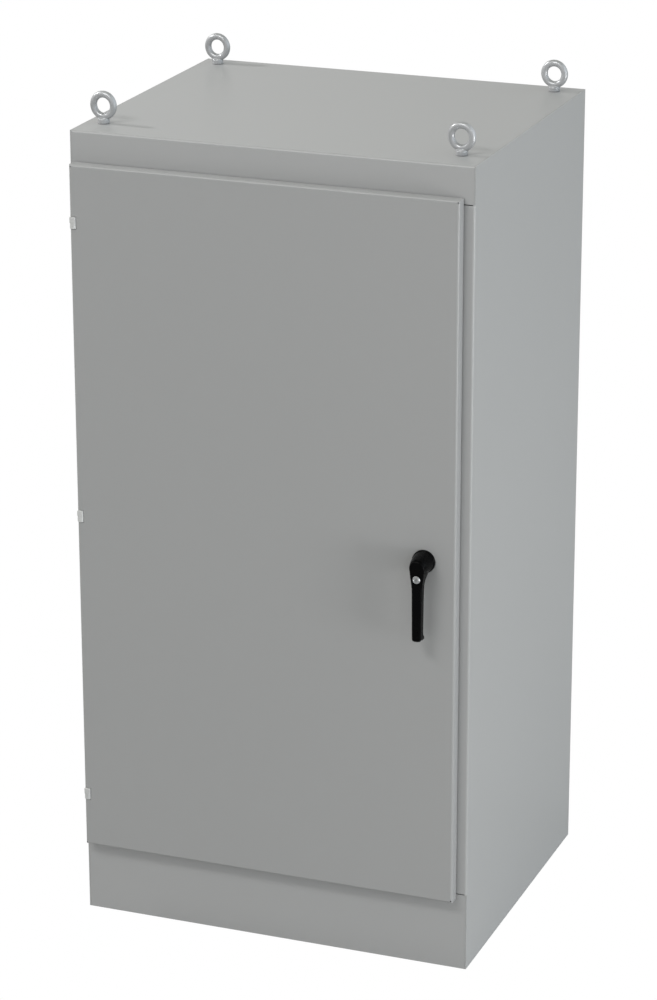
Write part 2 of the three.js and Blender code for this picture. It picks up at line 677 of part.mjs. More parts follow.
/** Outline of the lever: round head, drawn in to a neck, then a slim grip with a round end. */
function leverOutline() {
  const tipRadius = LEVER_TIP_WIDTH / 2;
  const tipHeight = HANDLE_HEIGHT - LEVER_LENGTH + tipRadius;
  const neckHeight = HANDLE_HEIGHT - LEVER_NECK_DROP;
  const shape = new THREE.Shape();
  const shoulder = flat(LEVER_HEAD_RADIUS * Math.cos(LEVER_SHOULDER), LEVER_HEAD_RADIUS * Math.sin(LEVER_SHOULDER));
  shape.moveTo(HANDLE_X + shoulder.x, HANDLE_HEIGHT - shoulder.y);
  shape.absarc(HANDLE_X, HANDLE_HEIGHT, LEVER_HEAD_RADIUS, -LEVER_SHOULDER, Math.PI + LEVER_SHOULDER, false);
  shape.quadraticCurveTo(HANDLE_X - LEVER_NECK_WIDTH / 2, neckHeight + LEVER_NECK_DROP / 3,
    HANDLE_X - LEVER_NECK_WIDTH / 2, neckHeight);
  shape.lineTo(HANDLE_X - tipRadius, tipHeight);
  shape.absarc(HANDLE_X, tipHeight, tipRadius, Math.PI, 2 * Math.PI, false);
  shape.lineTo(HANDLE_X + LEVER_NECK_WIDTH / 2, neckHeight);
  shape.quadraticCurveTo(HANDLE_X + LEVER_NECK_WIDTH / 2, neckHeight + LEVER_NECK_DROP / 3,
    HANDLE_X + shoulder.x, HANDLE_HEIGHT - shoulder.y);
  return shape;
}

const keyPlace = at(HANDLE_X, 0, HANDLE_HEIGHT - KEY_DROP);

function handleLever() {
  const hub = at(HANDLE_X, 0, HANDLE_HEIGHT);
  const tip = HANDLE_HEIGHT - LEVER_LENGTH;
  const body = join(
    extrude(leverOutline(), 'y', [LEVER_FRONT, LEVER_BACK]),
    round('y', [LEVER_BACK - 1, ESCUTCHEON_FRONT - GAP], hub, DOME_TOP_RADIUS, DOME_BASE_RADIUS),
    round('y', [LEVER_BACK, CAM_BACK - GAP], hub, SPINDLE_RADIUS),
    block(
      [HANDLE_X - LEVER_TIP_WIDTH / 3, HANDLE_X + LEVER_TIP_WIDTH / 3],
      [LEVER_BACK - 1, LEVER_BACK + LEVER_FOOT_DEPTH],
      [tip + 1, tip + LEVER_FOOT_HEIGHT],
    ),
  );
  const lockBore = [LEVER_FRONT - BEND, LEVER_FRONT + KEY_DEPTH];
  return cut(body, round('y', lockBore, keyPlace, KEY_RADIUS + RUNNING));
}

/** Lock plug with a blind slot for the key. */
function keyPlug() {
  const front = LEVER_FRONT - KEY_PROUD;
  const slot = block(
    span(HANDLE_X, KEY_SLOT.width),
    [front - 1, front + KEY_SLOT.depth],
    span(keyPlace.z, KEY_SLOT.height),
  );
  return cut(round('y', [front, LEVER_FRONT + KEY_DEPTH - RUNNING], keyPlace, KEY_RADIUS), slot);
}

/** Two-armed plate on the spindle that drives both rods. */
function latchCam() {
  const quarter = Math.PI / 2;
  const reach = CAM_THROW - CAM_HALF_WIDTH / 2;
  const shape = new THREE.Shape();
  shape.absarc(HANDLE_X + reach, HANDLE_HEIGHT, CAM_HALF_WIDTH, -quarter, quarter, false);
  shape.absarc(HANDLE_X - reach, HANDLE_HEIGHT, CAM_HALF_WIDTH, quarter, 3 * quarter, false);
  const hub = at(HANDLE_X, 0, HANDLE_HEIGHT);
  const bore = round('y', [CAM_FRONT - 1, CAM_BACK + 1], hub, SPINDLE_RADIUS + RUNNING);
  return cut(extrude(shape, 'y', [CAM_FRONT, CAM_BACK]), bore);
}

/** Places of one latch rod: way is 1 for the upper rod and -1 for the lower one. */
function rodPlace(way) {
  const x = HANDLE_X + way * CAM_THROW;
  const lipEdge = way > 0 ? OPENING_TOP - SHEET : OPENING_BOTTOM + SHEET;
  const rollerZ = lipEdge - way * (ROLLER_SHORT + ROLLER_RADIUS);
  const inner = x - way * (ROD_WIDTH / 2 + RUNNING);
  const rollerX = [inner, inner - way * ROLLER_WIDTH].sort((a, b) => a - b);
  const start = HANDLE_HEIGHT - way * CAM_HALF_WIDTH;
  const end = rollerZ + way * ROLLER_PIN_RADIUS;
  return { x, rollerZ, rollerX, start, end };
}

function latchRod(way) {
  const { x, rollerZ, rollerX, start, end } = rodPlace(way);
  const bar = block(
    span(x, ROD_WIDTH),
    [ROD_FRONT, ROD_BACK],
    [Math.min(start, end), Math.max(start, end)],
  );
  const pinSpan = way > 0 ? [rollerX[0] - 1, x] : [x, rollerX[1] + 1];
  return join(bar, round('x', pinSpan, at(0, ROD_Y, rollerZ), ROLLER_PIN_RADIUS - RUNNING));
}

function latchRoller(way) {
  const { rollerZ, rollerX } = rodPlace(way);
  const centre = at(0, ROD_Y, rollerZ);
  return cut(
    round('x', rollerX, centre, ROLLER_RADIUS),
    round('x', [rollerX[0] - 1, rollerX[1] + 1], centre, ROLLER_PIN_RADIUS),
  );
}

/** Post on the door with a slot that the rod slides through. */
function rodGuide(way) {
  const { x, rollerZ } = rodPlace(way);
  const z = rollerZ - way * GUIDE_FROM_ROD_END;
  const height = span(z, GUIDE_HEIGHT);
  return cut(
    block([x - GUIDE_HALF, x + GUIDE_HALF], [DOOR.inside + GAP, ROD_BACK + GUIDE_WALL], height),
    block(
      [x - ROD_WIDTH / 2 - RUNNING, x + ROD_WIDTH / 2 + RUNNING],
      [ROD_FRONT - RUNNING, ROD_BACK + RUNNING],
      [height[0] - 1, height[1] + 1],
    ),
  );
}

add('handle_escutcheon', escutcheon(), BLACK);
add('handle_lever', handleLever(), BLACK);
add('key_plug', keyPlug(), ZINC);
add('latch_cam', latchCam(), ZINC);
for (const [place, way] of [['upper', 1], ['lower', -1]]) {
  add(`${place}_latch_rod`, latchRod(way), ZINC);
  add(`${place}_latch_roller`, latchRoller(way), MOULDED);
  add(`${place}_rod_guide`, rodGuide(way), ZINC);
}

// ---------------------------------------------------------------- sub-panel and transfer switch

function subPanel() {
  const sheet = block([-PANEL_HALF, PANEL_HALF], [PANEL_FRONT, PANEL_BACK], [PANEL_BOTTOM, PANEL_TOP]);
  const holes = studPlaces.map((place) => (
    round('y', [PANEL_FRONT - SHEET, PANEL_BACK + SHEET], place, STUD_RADIUS + STUD_CLEARANCE)
  ));
  return cut(sheet, ...holes);
}

const poleX = (index) => SWITCH_X + (index - (POLES.length - 1) / 2) * POLE_PITCH;
const acrossSwitch = span(SWITCH_X, BASE_WIDTH);
const shaftAxis = at(0, SHAFT_Y, SWITCH_Z);
const cheekPlaces = [acrossSwitch[0] + CHEEK_THICKNESS / 2, acrossSwitch[1] - CHEEK_THICKNESS / 2];

/** Moulded base with a bearing cheek at each end of the shaft. */
function switchBase() {
  const body = block(acrossSwitch, [BASE_FRONT, ON_PANEL], span(SWITCH_Z, BASE_HEIGHT));
  const cheeks = cheekPlaces.map((x) => block(
    span(x, CHEEK_THICKNESS),
    [SHAFT_Y - CHEEK_HEIGHT / 2, BASE_FRONT + 1],
    span(SWITCH_Z, CHEEK_HEIGHT),
  ));
  const bearing = round('x', [acrossSwitch[0] - 1, acrossSwitch[1] + 1], shaftAxis, SHAFT_RADIUS + RUNNING);
  return cut(join(body, ...cheeks), bearing);
}

/** Bank of arc chutes over one source's contacts; way is 1 above the shaft and -1 below it. */
function arcChutes(way) {
  const near = SWITCH_Z + way * CHUTE_FROM_SHAFT;
  const far = near + way * CHUTE_HEIGHT;
  const half = POLE_PITCH * POLES.length / 2;
  return block(
    [SWITCH_X - half, SWITCH_X + half],
    [BASE_FRONT - GAP - CHUTE_DEPTH, BASE_FRONT - GAP],
    [Math.min(near, far), Math.max(near, far)],
  );
}

/** Barrier block with an open bay for each pole's cable lug. */
function terminalBlock(bottom, back) {
  const half = POLE_PITCH * POLES.length / 2;
  const barrier = CHEEK_THICKNESS;
  const height = [bottom, bottom + TERMINAL_HEIGHT];
  const body = block([SWITCH_X - half, SWITCH_X + half], [back - TERMINAL_DEPTH, back], height);
  const bays = POLES.map((_, index) => block(
    [poleX(index) - POLE_PITCH / 2 + barrier, poleX(index) + POLE_PITCH / 2 - barrier],
    [back - TERMINAL_DEPTH - 1, back - TERMINAL_DEPTH / 3],
    [bottom - 1, bottom + TERMINAL_HEIGHT + 1],
  ));
  return cut(body, ...bays);
}

const solenoidCentre = at(
  acrossSwitch[1] + SOLENOID_GAP + YOKE_WIDTH / 2,
  SHAFT_Y - CRANK_REACH,
  SWITCH_Z - SOLENOID_DROP,
);
const shaftEnd = solenoidCentre.x + CRANK_WIDTH;

/** Insulated shaft through both cheeks. */
function contactShaft() {
  return round('x', [acrossSwitch[0] - SHAFT_OVERHANG, shaftEnd], shaftAxis, SHAFT_RADIUS);
}

/** One pole's blade on a split hub, at rest against the normal source's contact. */
function contactBlade(index) {
  const x = poleX(index);
  const tilt = THREE.MathUtils.degToRad(THROW_DEGREES / 2);
  const arm = block(
    span(x, BLADE_WIDTH),
    [-BLADE_LENGTH, 0],
    [-BLADE_THICKNESS / 2, BLADE_THICKNESS / 2],
  );
  arm.applyMatrix4(new THREE.Matrix4().makeRotationX(-tilt)).translate(0, shaftAxis.y, shaftAxis.z);
  const hub = round('x', span(x, BLADE_WIDTH + BLADE_THICKNESS), shaftAxis, BLADE_HUB);
  const bore = round('x', [x - BLADE_WIDTH, x + BLADE_WIDTH], shaftAxis, SHAFT_RADIUS + RUNNING);
  return cut(join(hub, arm), bore);
}

/** Hand lever clamped on the left end of the shaft. */
function manualOperator() {
  const end = acrossSwitch[0] - SHAFT_OVERHANG;
  const collar = round('x', [end - GAP - OPERATOR_COLLAR_WIDTH, end - GAP], shaftAxis, OPERATOR_COLLAR);
  const middle = at(end - GAP - OPERATOR_COLLAR_WIDTH / 2, 0, SWITCH_Z);
  const grip = round('y', [SHAFT_Y - OPERATOR_LENGTH, SHAFT_Y], middle, OPERATOR_RADIUS);
  return join(collar, grip);
}

/** Arm on the shaft whose round nose pushes the plunger down as the switch throws. */
function throwCrank() {
  const { x } = solenoidCentre;
  const across = span(x, CRANK_WIDTH);
  const nose = at(0, SHAFT_Y - CRANK_REACH, SWITCH_Z);
  const body = join(
    round('x', across, shaftAxis, CRANK_HUB),
    block(across, [nose.y, SHAFT_Y], [SWITCH_Z - CRANK_NOSE, SWITCH_Z + CRANK_NOSE]),
    round('x', across, nose, CRANK_NOSE),
  );
  return cut(body, round('x', [across[0] - 1, across[1] + 1], shaftAxis, SHAFT_RADIUS + RUNNING));
}

/** Laminated frame round the coil, bored for the plunger, on a bracket to the sub-panel. */
function solenoidYoke() {
  const { x, y, z } = solenoidCentre;
  const across = span(x, YOKE_WIDTH);
  const height = span(z, YOKE_HEIGHT);
  const outer = block(across, span(y, YOKE_DEPTH), height);
  const window = block(overWall(across, YOKE_BAR), span(y, 2 * YOKE_DEPTH), overWall(height, YOKE_BAR));
  const bracket = block(across, [y + COIL_RADIUS + GAP, ON_PANEL], span(z, SOLENOID_BRACKET));
  const bore = round('z', [z, z + YOKE_HEIGHT], at(x, y, 0), PLUNGER_RADIUS + RUNNING);
  return cut(join(cut(outer, window), bracket), bore);
}

function solenoidCoil() {
  const { x, y, z } = solenoidCentre;
  const half = YOKE_HEIGHT / 2 - YOKE_BAR - GAP;
  return cut(
    round('z', [z - half, z + half], at(x, y, 0), COIL_RADIUS),
    round('z', [z - half + YOKE_BAR, z + half + 1], at(x, y, 0), PLUNGER_RADIUS + RUNNING),
  );
}

function solenoidPlunger() {
  const { x, y, z } = solenoidCentre;
  const top = SWITCH_Z - CRANK_NOSE - CRANK_GAP;
  const stop = z - YOKE_HEIGHT / 2 + 2 * YOKE_BAR;
  return join(
    round('z', [stop + PLUNGER_TRAVEL + CRANK_GAP, top], at(x, y, 0), PLUNGER_RADIUS),
    round('z', [top - PLUNGER_HEAD, top], at(x, y, 0), PLUNGER_HEAD_RADIUS),
  );
}

// ---------------------------------------------------------------- controller and wiring

const controllerFront = ON_PANEL - CONTROLLER_DEPTH;
const coverFront = controllerFront - GAP - CONTROLLER_COVER;
const controllerSpan = {
  x: span(CONTROLLER_X, CONTROLLER_WIDTH),
  z: span(CONTROLLER_Z, CONTROLLER_HEIGHT),
};

function controllerCase() {
  return cut(
    block(controllerSpan.x, [controllerFront, ON_PANEL], controllerSpan.z),
    block(
      overWall(controllerSpan.x, CONTROLLER_WALL),
      [controllerFront - 1, ON_PANEL - CONTROLLER_WALL],
      overWall(controllerSpan.z, CONTROLLER_WALL),
    ),
  );
}

const buttonPlaces = [['test', -1], ['reset', 1]].map(([name, side]) => ({
  name,
  place: at(CONTROLLER_X + side * BUTTON_PITCH / 2, 0, CONTROLLER_Z - BUTTON_DROP),
}));

function controllerCover() {
  const holes = buttonPlaces.map(({ place }) => (
    round('y', [coverFront - 1, controllerFront], place, BUTTON_RADIUS + RUNNING)
  ));
  return cut(block(controllerSpan.x, [coverFront, controllerFront - GAP], controllerSpan.z), ...holes);
}

function controllerButton(place) {
  return round('y', [coverFront - BUTTON_PROUD, coverFront + BUTTON_STEM], place, BUTTON_RADIUS);
}

function controlTransformer() {
  const { x, z, width, height, depth, core: [coreBack, coreFront] } = TRANSFORMER;
  const stack = [ON_PANEL - depth * coreFront, ON_PANEL - depth * coreBack];
  const core = block(span(x, width), stack, span(z, height));
  const winding = block(span(x, width / 2), [ON_PANEL - depth, ON_PANEL - 1], span(z, height * 2 / 3));
  const feet = block(span(x, width), [ON_PANEL - SHEET, ON_PANEL], span(z, height));
  return join(core, winding, feet);
}

/** Copper bar on two feet. */
function busBar({ x, z }) {
  const front = ON_PANEL - BAR_STANDOFF - BAR_THICKNESS;
  const height = span(z, BAR_HEIGHT);
  const feet = [-1, 1].map((side) => {
    const middle = x + side * (BAR_WIDTH / 2 - BAR_FOOT / 2);
    return block(span(middle, BAR_FOOT), [front + BAR_THICKNESS / 2, ON_PANEL], height);
  });
  return join(block(span(x, BAR_WIDTH), [front, front + BAR_THICKNESS], height), ...feet);
}

/** Open channel that the control wires lie in. */
function wireDuct() {
  const { x, z, width, height, depth, wall } = DUCT;
  const across = span(x, width);
  return cut(
    block(across, [ON_PANEL - depth, ON_PANEL], span(z, height)),
    block(overWall(across, wall), [ON_PANEL - depth - 1, ON_PANEL - wall], [z - height, z + height]),
  );
}

add('sub_panel', subPanel(), WHITE_PANEL);
add('switch_base', switchBase(), MOULDED);
add('arc_chutes_normal', arcChutes(1), CHUTE);
add('arc_chutes_emergency', arcChutes(-1), CHUTE);
const switchTop = SWITCH_Z + BASE_HEIGHT / 2;
const switchBottom = SWITCH_Z - BASE_HEIGHT / 2;
add('normal_terminals', terminalBlock(switchTop - TERMINAL_HEIGHT, BASE_FRONT - GAP), MOULDED);
add('emergency_terminals', terminalBlock(switchBottom, BASE_FRONT - GAP), MOULDED);
add('load_terminals', terminalBlock(switchBottom - LOAD_DROP - TERMINAL_HEIGHT, ON_PANEL), MOULDED);
add('contact_shaft', contactShaft(), MOULDED);
POLES.forEach((pole, index) => add(`contact_blade_${pole}`, contactBlade(index), COPPER));
add('manual_operator', manualOperator(), RED);
add('throw_crank', throwCrank(), IRON);
add('solenoid_yoke', solenoidYoke(), IRON);
add('solenoid_coil', solenoidCoil(), COIL_TAPE);
add('solenoid_plunger', solenoidPlunger(), IRON);
add('controller_case', controllerCase(), MOULDED);
add('controller_cover', controllerCover(), DUCT_GREY);
add('test_button', controllerButton(buttonPlaces[0].place), GREEN);
add('reset_button', controllerButton(buttonPlaces[1].place), RED);
add('control_transformer', controlTransformer(), IRON);
add('neutral_bar', busBar(NEUTRAL), COPPER);
add('ground_bar', busBar(GROUND), COPPER);
add('wire_duct', wireDuct(), DUCT_GREY);

export default object;
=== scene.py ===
"""Looks of a free-standing single-door steel cabinet with a transfer switch inside.

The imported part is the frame. Everything is in metres in the part's own axes: +Z is up, the door
faces -Y, and +X is on the right of someone who faces the door.
"""

import logging
import math
from dataclasses import dataclass, field
from enum import Enum
from typing import Callable, Iterable, Sequence

import bmesh
import bpy
from mathutils import Matrix, Vector


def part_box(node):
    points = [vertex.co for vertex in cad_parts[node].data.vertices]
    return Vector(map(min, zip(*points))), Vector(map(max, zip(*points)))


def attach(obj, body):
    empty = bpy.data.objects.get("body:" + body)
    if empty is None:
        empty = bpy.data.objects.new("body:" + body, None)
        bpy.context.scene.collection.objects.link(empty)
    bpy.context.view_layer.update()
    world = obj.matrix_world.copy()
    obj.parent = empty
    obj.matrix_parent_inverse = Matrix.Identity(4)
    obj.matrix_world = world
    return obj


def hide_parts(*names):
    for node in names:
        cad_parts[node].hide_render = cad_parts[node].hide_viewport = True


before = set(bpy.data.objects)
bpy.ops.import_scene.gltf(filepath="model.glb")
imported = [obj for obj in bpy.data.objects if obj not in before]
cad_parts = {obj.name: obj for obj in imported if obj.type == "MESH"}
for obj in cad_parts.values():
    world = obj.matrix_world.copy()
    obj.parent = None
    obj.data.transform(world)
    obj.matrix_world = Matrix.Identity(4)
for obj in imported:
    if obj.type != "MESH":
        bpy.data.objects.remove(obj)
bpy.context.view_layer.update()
log = logging.getLogger("cabinet")

MM = 0.001
Point = tuple[float, float, float]
Colour = tuple[float, float, float]


class Slot(Enum):
    """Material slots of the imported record."""

    GREY_PAINT = "grey_paint"
    PANEL_PAINT = "panel_paint"
    ZINC = "zinc"
    BLACK_LEVER = "black_lever"
    GASKET_RUBBER = "gasket_rubber"
    BLACK_MOULDING = "black_moulding"
    BROWN_MOULDING = "brown_moulding"
    COPPER = "copper"
    IRON = "iron"
    COIL_TAPE = "coil_tape"
    GREY_PLASTIC = "grey_plastic"
    RED_PLASTIC = "red_plastic"
    GREEN_PLASTIC = "green_plastic"


class Axis(Enum):
    """Directions that a turned piece can point in."""

    X = (1.0, 0.0, 0.0)
    Y = (0.0, 1.0, 0.0)
    Z = (0.0, 0.0, 1.0)
    FRONT = (0.0, -1.0, 0.0)
    DOWN = (0.0, 0.0, -1.0)

    @property
    def vector(self) -> Vector:
        """The direction as a vector."""
        return Vector(self.value)


def from_srgb(red: int, green: int, blue: int) -> Colour:
    """Turns a display colour into the linear colour that a shader takes.

    Args:
        red: Red from 0 to 255.
        green: Green from 0 to 255.
        blue: Blue from 0 to 255.

    Returns:
        The linear colour.
    """
    def linear(value: int) -> float:
        """One channel, linear."""
        share = value / 255
        return share / 12.92 if share <= 0.04045 else ((share + 0.055) / 1.055) ** 2.4

    return linear(red), linear(green), linear(blue)


# ---------------------------------------------------------------- shader node groups

@dataclass
class Graph:
    """A node tree that is being filled in."""

    tree: bpy.types.NodeTree

    def node(self, kind: str, **settings: object) -> bpy.types.Node:
        """Adds a node.

        Args:
            kind: The node's Blender type name.
            **settings: Properties to set on it.

        Returns:
            The node.
        """
        made = self.tree.nodes.new(kind)
        for name, value in settings.items():
            setattr(made, name, value)
        return made

    def link(self, source: bpy.types.NodeSocket, target: bpy.types.NodeSocket) -> None:
        """Joins an output to an input."""
        self.tree.links.new(source, target)

    def maths(self, operation: str, first: object, second: object = 0.0,
              clamp: bool = False) -> bpy.types.NodeSocket:
        """Adds a Math node.

        Args:
            operation: Blender's name for the operation.
            first: A socket or a number.
            second: A socket or a number.
            clamp: Whether the result is kept from 0 to 1.

        Returns:
            The result's socket.
        """
        made = self.node("ShaderNodeMath", operation=operation, use_clamp=clamp)
        for socket, value in zip(made.inputs, (first, second)):
            if isinstance(value, bpy.types.NodeSocket):
                self.link(value, socket)
            else:
                socket.default_value = value
        return made.outputs[0]

    def ramp(self, value: bpy.types.NodeSocket, low: float, high: float) -> bpy.types.NodeSocket:
        """Adds a smooth step.

        Args:
            value: What is stepped.
            low: Where the step starts.
            high: Where it ends.

        Returns:
            0 below low, 1 above high.
        """
        made = self.node("ShaderNodeMapRange", interpolation_type="SMOOTHSTEP", clamp=True)
        self.link(value, made.inputs["Value"])
        made.inputs["From Min"].default_value = low
        made.inputs["From Max"].default_value = high
        return made.outputs["Result"]

    def noise(self, place: bpy.types.NodeSocket, scale: object, detail: float = 2.0) -> bpy.types.NodeSocket:
        """Adds a noise texture.

        Args:
            place: The coordinates.
            scale: A socket or a number.
            detail: How many finer layers it has.

        Returns:
            The noise value's socket.
        """
        made = self.node("ShaderNodeTexNoise")
        made.inputs["Detail"].default_value = detail
        self.link(place, made.inputs["Vector"])
        if isinstance(scale, bpy.types.NodeSocket):
            self.link(scale, made.inputs["Scale"])
        else:
            made.inputs["Scale"].default_value = scale
        return made.outputs["Fac"]

    def mix(self, share: object, first: object, second: object) -> bpy.types.NodeSocket:
        """Adds a colour mix.

        Args:
            share: A socket or a number, 0 for all first and 1 for all second.
            first: A socket or a colour.
            second: A socket or a colour.

        Returns:
            The mixed colour's socket.
        """
        made = self.node("ShaderNodeMix", data_type="RGBA")
        for socket, value in ((made.inputs[0], share), (made.inputs[6], first), (made.inputs[7], second)):
            if isinstance(value, bpy.types.NodeSocket):
                self.link(value, socket)
            elif isinstance(value, tuple):
                socket.default_value = (*value[:3], 1.0)
            else:
                socket.default_value = value
        return made.outputs[2]


@dataclass(frozen=True)
class Effect:
    """A surface effect that several finishes share, kept as one shader node group."""

    name: str
    inputs: tuple[tuple[str, str, float], ...]
    outputs: tuple[tuple[str, str], ...]
    fill: Callable[[Graph, dict, dict], None]

    def group(self) -> bpy.types.NodeTree:
        """Builds the group on first use.

        Returns:
            The node group.
        """
        tree = bpy.data.node_groups.get(self.name)
        if tree:
            return tree
        tree = bpy.data.node_groups.new(self.name, "ShaderNodeTree")
        for name, kind, value in self.inputs:
            socket = tree.interface.new_socket(name, in_out="INPUT", socket_type=f"NodeSocket{kind}")
            if kind == "Float":
                socket.default_value = value
        for name, kind in self.outputs:
            tree.interface.new_socket(name, in_out="OUTPUT", socket_type=f"NodeSocket{kind}")
        graph = Graph(tree)
        entry, leave = graph.node("NodeGroupInput"), graph.node("NodeGroupOutput")
        self.fill(graph, entry.outputs, leave.inputs)
        return tree

    def place(self, graph: Graph, **values: float) -> bpy.types.Node:
        """Puts the effect into a material.

        Args:
            graph: The material's graph.
            **values: Input values, with _ for a space in a name.

        Returns:
            The group node.
        """
        made = graph.node("ShaderNodeGroup", node_tree=self.group())
        for name, value in values.items():
            made.inputs[name.replace("_", " ").capitalize()].default_value = value
        return made


def fill_orange_peel(graph: Graph, given: dict, result: dict) -> None:
    """The slow ripple and fine grain of baked powder paint.

    Args:
        graph: The group's graph.
        given: The group's inputs.
        result: The group's outputs.
    """
    place = graph.node("ShaderNodeTexCoord").outputs["Object"]
    ripple = graph.noise(place, given["Ripple scale"], 1.0)
    grain = graph.noise(place, given["Grain scale"], 2.0)
    both = graph.maths("ADD", graph.maths("MULTIPLY", ripple, 0.7), graph.maths("MULTIPLY", grain, 0.3))
    graph.link(both, result["Height"])
    graph.link(grain, result["Grain"])


def fill_patches(graph: Graph, given: dict, result: dict) -> None:
    """Wide soft patches, for colour and gloss that is never quite even.

    Args:
        graph: The group's graph.
        given: The group's inputs.
        result: The group's outputs.
    """
    place = graph.node("ShaderNodeTexCoord").outputs["Object"]
    cloud = graph.noise(place, given["Scale"], 4.0)
    graph.link(graph.ramp(cloud, 0.3, 0.7), result["Mask"])
    wide = graph.noise(place, graph.maths("MULTIPLY", given["Scale"], 0.3), 2.0)
    graph.link(graph.ramp(wide, 0.35, 0.65), result["Wide"])


def fill_edge_wear(graph: Graph, given: dict, result: dict) -> None:
    """Where sharp edges are rubbed, broken up by noise.

    Args:
        graph: The group's graph.
        given: The group's inputs.
        result: The group's outputs.
    """
    coordinates = graph.node("ShaderNodeTexCoord")
    breakup = graph.noise(coordinates.outputs["Object"], given["Breakup scale"], 5.0)
    softened = graph.node("ShaderNodeBevel", samples=4)
    softened.inputs["Radius"].default_value = 0.0012
    likeness = graph.node("ShaderNodeVectorMath", operation="DOT_PRODUCT")
    graph.link(softened.outputs[0], likeness.inputs[0])
    graph.link(graph.node("ShaderNodeNewGeometry").outputs["Normal"], likeness.inputs[1])
    edge = graph.ramp(graph.maths("SUBTRACT", 1.0, likeness.outputs["Value"]), 0.01, 0.12)
    torn = graph.maths("MULTIPLY", edge, graph.ramp(breakup, 0.4, 0.62))
    graph.link(graph.maths("MULTIPLY", torn, given["Amount"], clamp=True), result["Mask"])


def fill_dust(graph: Graph, given: dict, result: dict) -> None:
    """A thin film on faces that look up.

    Args:
        graph: The group's graph.
        given: The group's inputs.
        result: The group's outputs.
    """
    coordinates = graph.node("ShaderNodeTexCoord")
    split = graph.node("ShaderNodeSeparateXYZ")
    graph.link(graph.node("ShaderNodeNewGeometry").outputs["Normal"], split.inputs[0])
    up = graph.ramp(split.outputs["Z"], 0.55, 1.0)
    settled = graph.noise(coordinates.outputs["Object"], 14.0, 5.0)
    film = graph.maths("MULTIPLY", up, graph.maths("ADD", 0.7, graph.maths("MULTIPLY", settled, 0.3)))
    graph.link(graph.maths("MULTIPLY", film, given["Amount"], clamp=True), result["Mask"])


def fill_brushing(graph: Graph, given: dict, result: dict) -> None:
    """Fine drawn or ground lines along one direction.

    Args:
        graph: The group's graph.
        given: The group's inputs.
        result: The group's outputs.
    """
    place = graph.node("ShaderNodeTexCoord").outputs["Object"]
    stretch = graph.node("ShaderNodeVectorMath", operation="MULTIPLY")
    graph.link(place, stretch.inputs[0])
    graph.link(given["Stretch"], stretch.inputs[1])
    lines = graph.noise(stretch.outputs[0], given["Scale"], 3.0)
    graph.link(lines, result["Lines"])
    graph.link(graph.ramp(lines, 0.35, 0.7), result["Mask"])


def fill_spangle(graph: Graph, given: dict, result: dict) -> None:
    """The crystal flakes of a zinc coat.

    Args:
        graph: The group's graph.
        given: The group's inputs.
        result: The group's outputs.
    """
    place = graph.node("ShaderNodeTexCoord").outputs["Object"]
    cells = graph.node("ShaderNodeTexVoronoi", feature="F1")
    cells.inputs["Randomness"].default_value = 1.0
    graph.link(place, cells.inputs["Vector"])
    graph.link(given["Scale"], cells.inputs["Scale"])
    split = graph.node("ShaderNodeSeparateColor")
    graph.link(cells.outputs["Color"], split.inputs[0])
    graph.link(split.outputs[0], result["Flake"])
    graph.link(cells.outputs["Distance"], result["Height"])


ORANGE_PEEL = Effect(
    "powder_orange_peel",
    (("Ripple scale", "Float", 160.0), ("Grain scale", "Float", 900.0)),
    (("Height", "Float"), ("Grain", "Float")),
    fill_orange_peel,
)
PATCHES = Effect(
    "soft_patches",
    (("Scale", "Float", 3.0),),
    (("Mask", "Float"), ("Wide", "Float")),
    fill_patches,
)
EDGE_WEAR = Effect(
    "edge_wear",
    (("Amount", "Float", 0.5), ("Breakup scale", "Float", 120.0)),
    (("Mask", "Float"),),
    fill_edge_wear,
)
DUST = Effect("settled_dust", (("Amount", "Float", 0.3),), (("Mask", "Float"),), fill_dust)
BRUSHING = Effect(
    "drawn_lines",
    (("Scale", "Float", 200.0), ("Stretch", "Vector", 0.0)),
    (("Lines", "Float"), ("Mask", "Float")),
    fill_brushing,
)
SPANGLE = Effect(
    "zinc_spangle",
    (("Scale", "Float", 90.0),),
    (("Flake", "Float"), ("Height", "Float")),
    fill_spangle,
)


# ---------------------------------------------------------------- finishes

@dataclass
class Surface:
    """A material in the making: its graph, its Principled shader and the height that its bump follows."""

    graph: Graph
    shader: bpy.types.Node

    def bump(self, height: bpy.types.NodeSocket, depth: float, strength: float = 1.0) -> None:
        """Leads a height to the shader's normal.

        Args:
            height: The height's socket.
            depth: How deep the full range is, in metres.
            strength: How strongly it shows.
        """
        made = self.graph.node("ShaderNodeBump")
        made.inputs["Strength"].default_value = strength
        made.inputs["Distance"].default_value = depth
        self.graph.link(height, made.inputs["Height"])
        self.graph.link(made.outputs["Normal"], self.shader.inputs["Normal"])

    def colour(self, source: bpy.types.NodeSocket) -> None:
        """Leads a colour to the shader."""
        self.graph.link(source, self.shader.inputs["Base Color"])

    def roughness(self, low: float, high: float, share: bpy.types.NodeSocket) -> None:
        """Varies the roughness.

        Args:
            low: Roughness where share is 0.
            high: Roughness where share is 1.
            share: What it follows.
        """
        spread = self.graph.maths("MULTIPLY", share, high - low)
        self.graph.link(self.graph.maths("ADD", spread, low), self.shader.inputs["Roughness"])


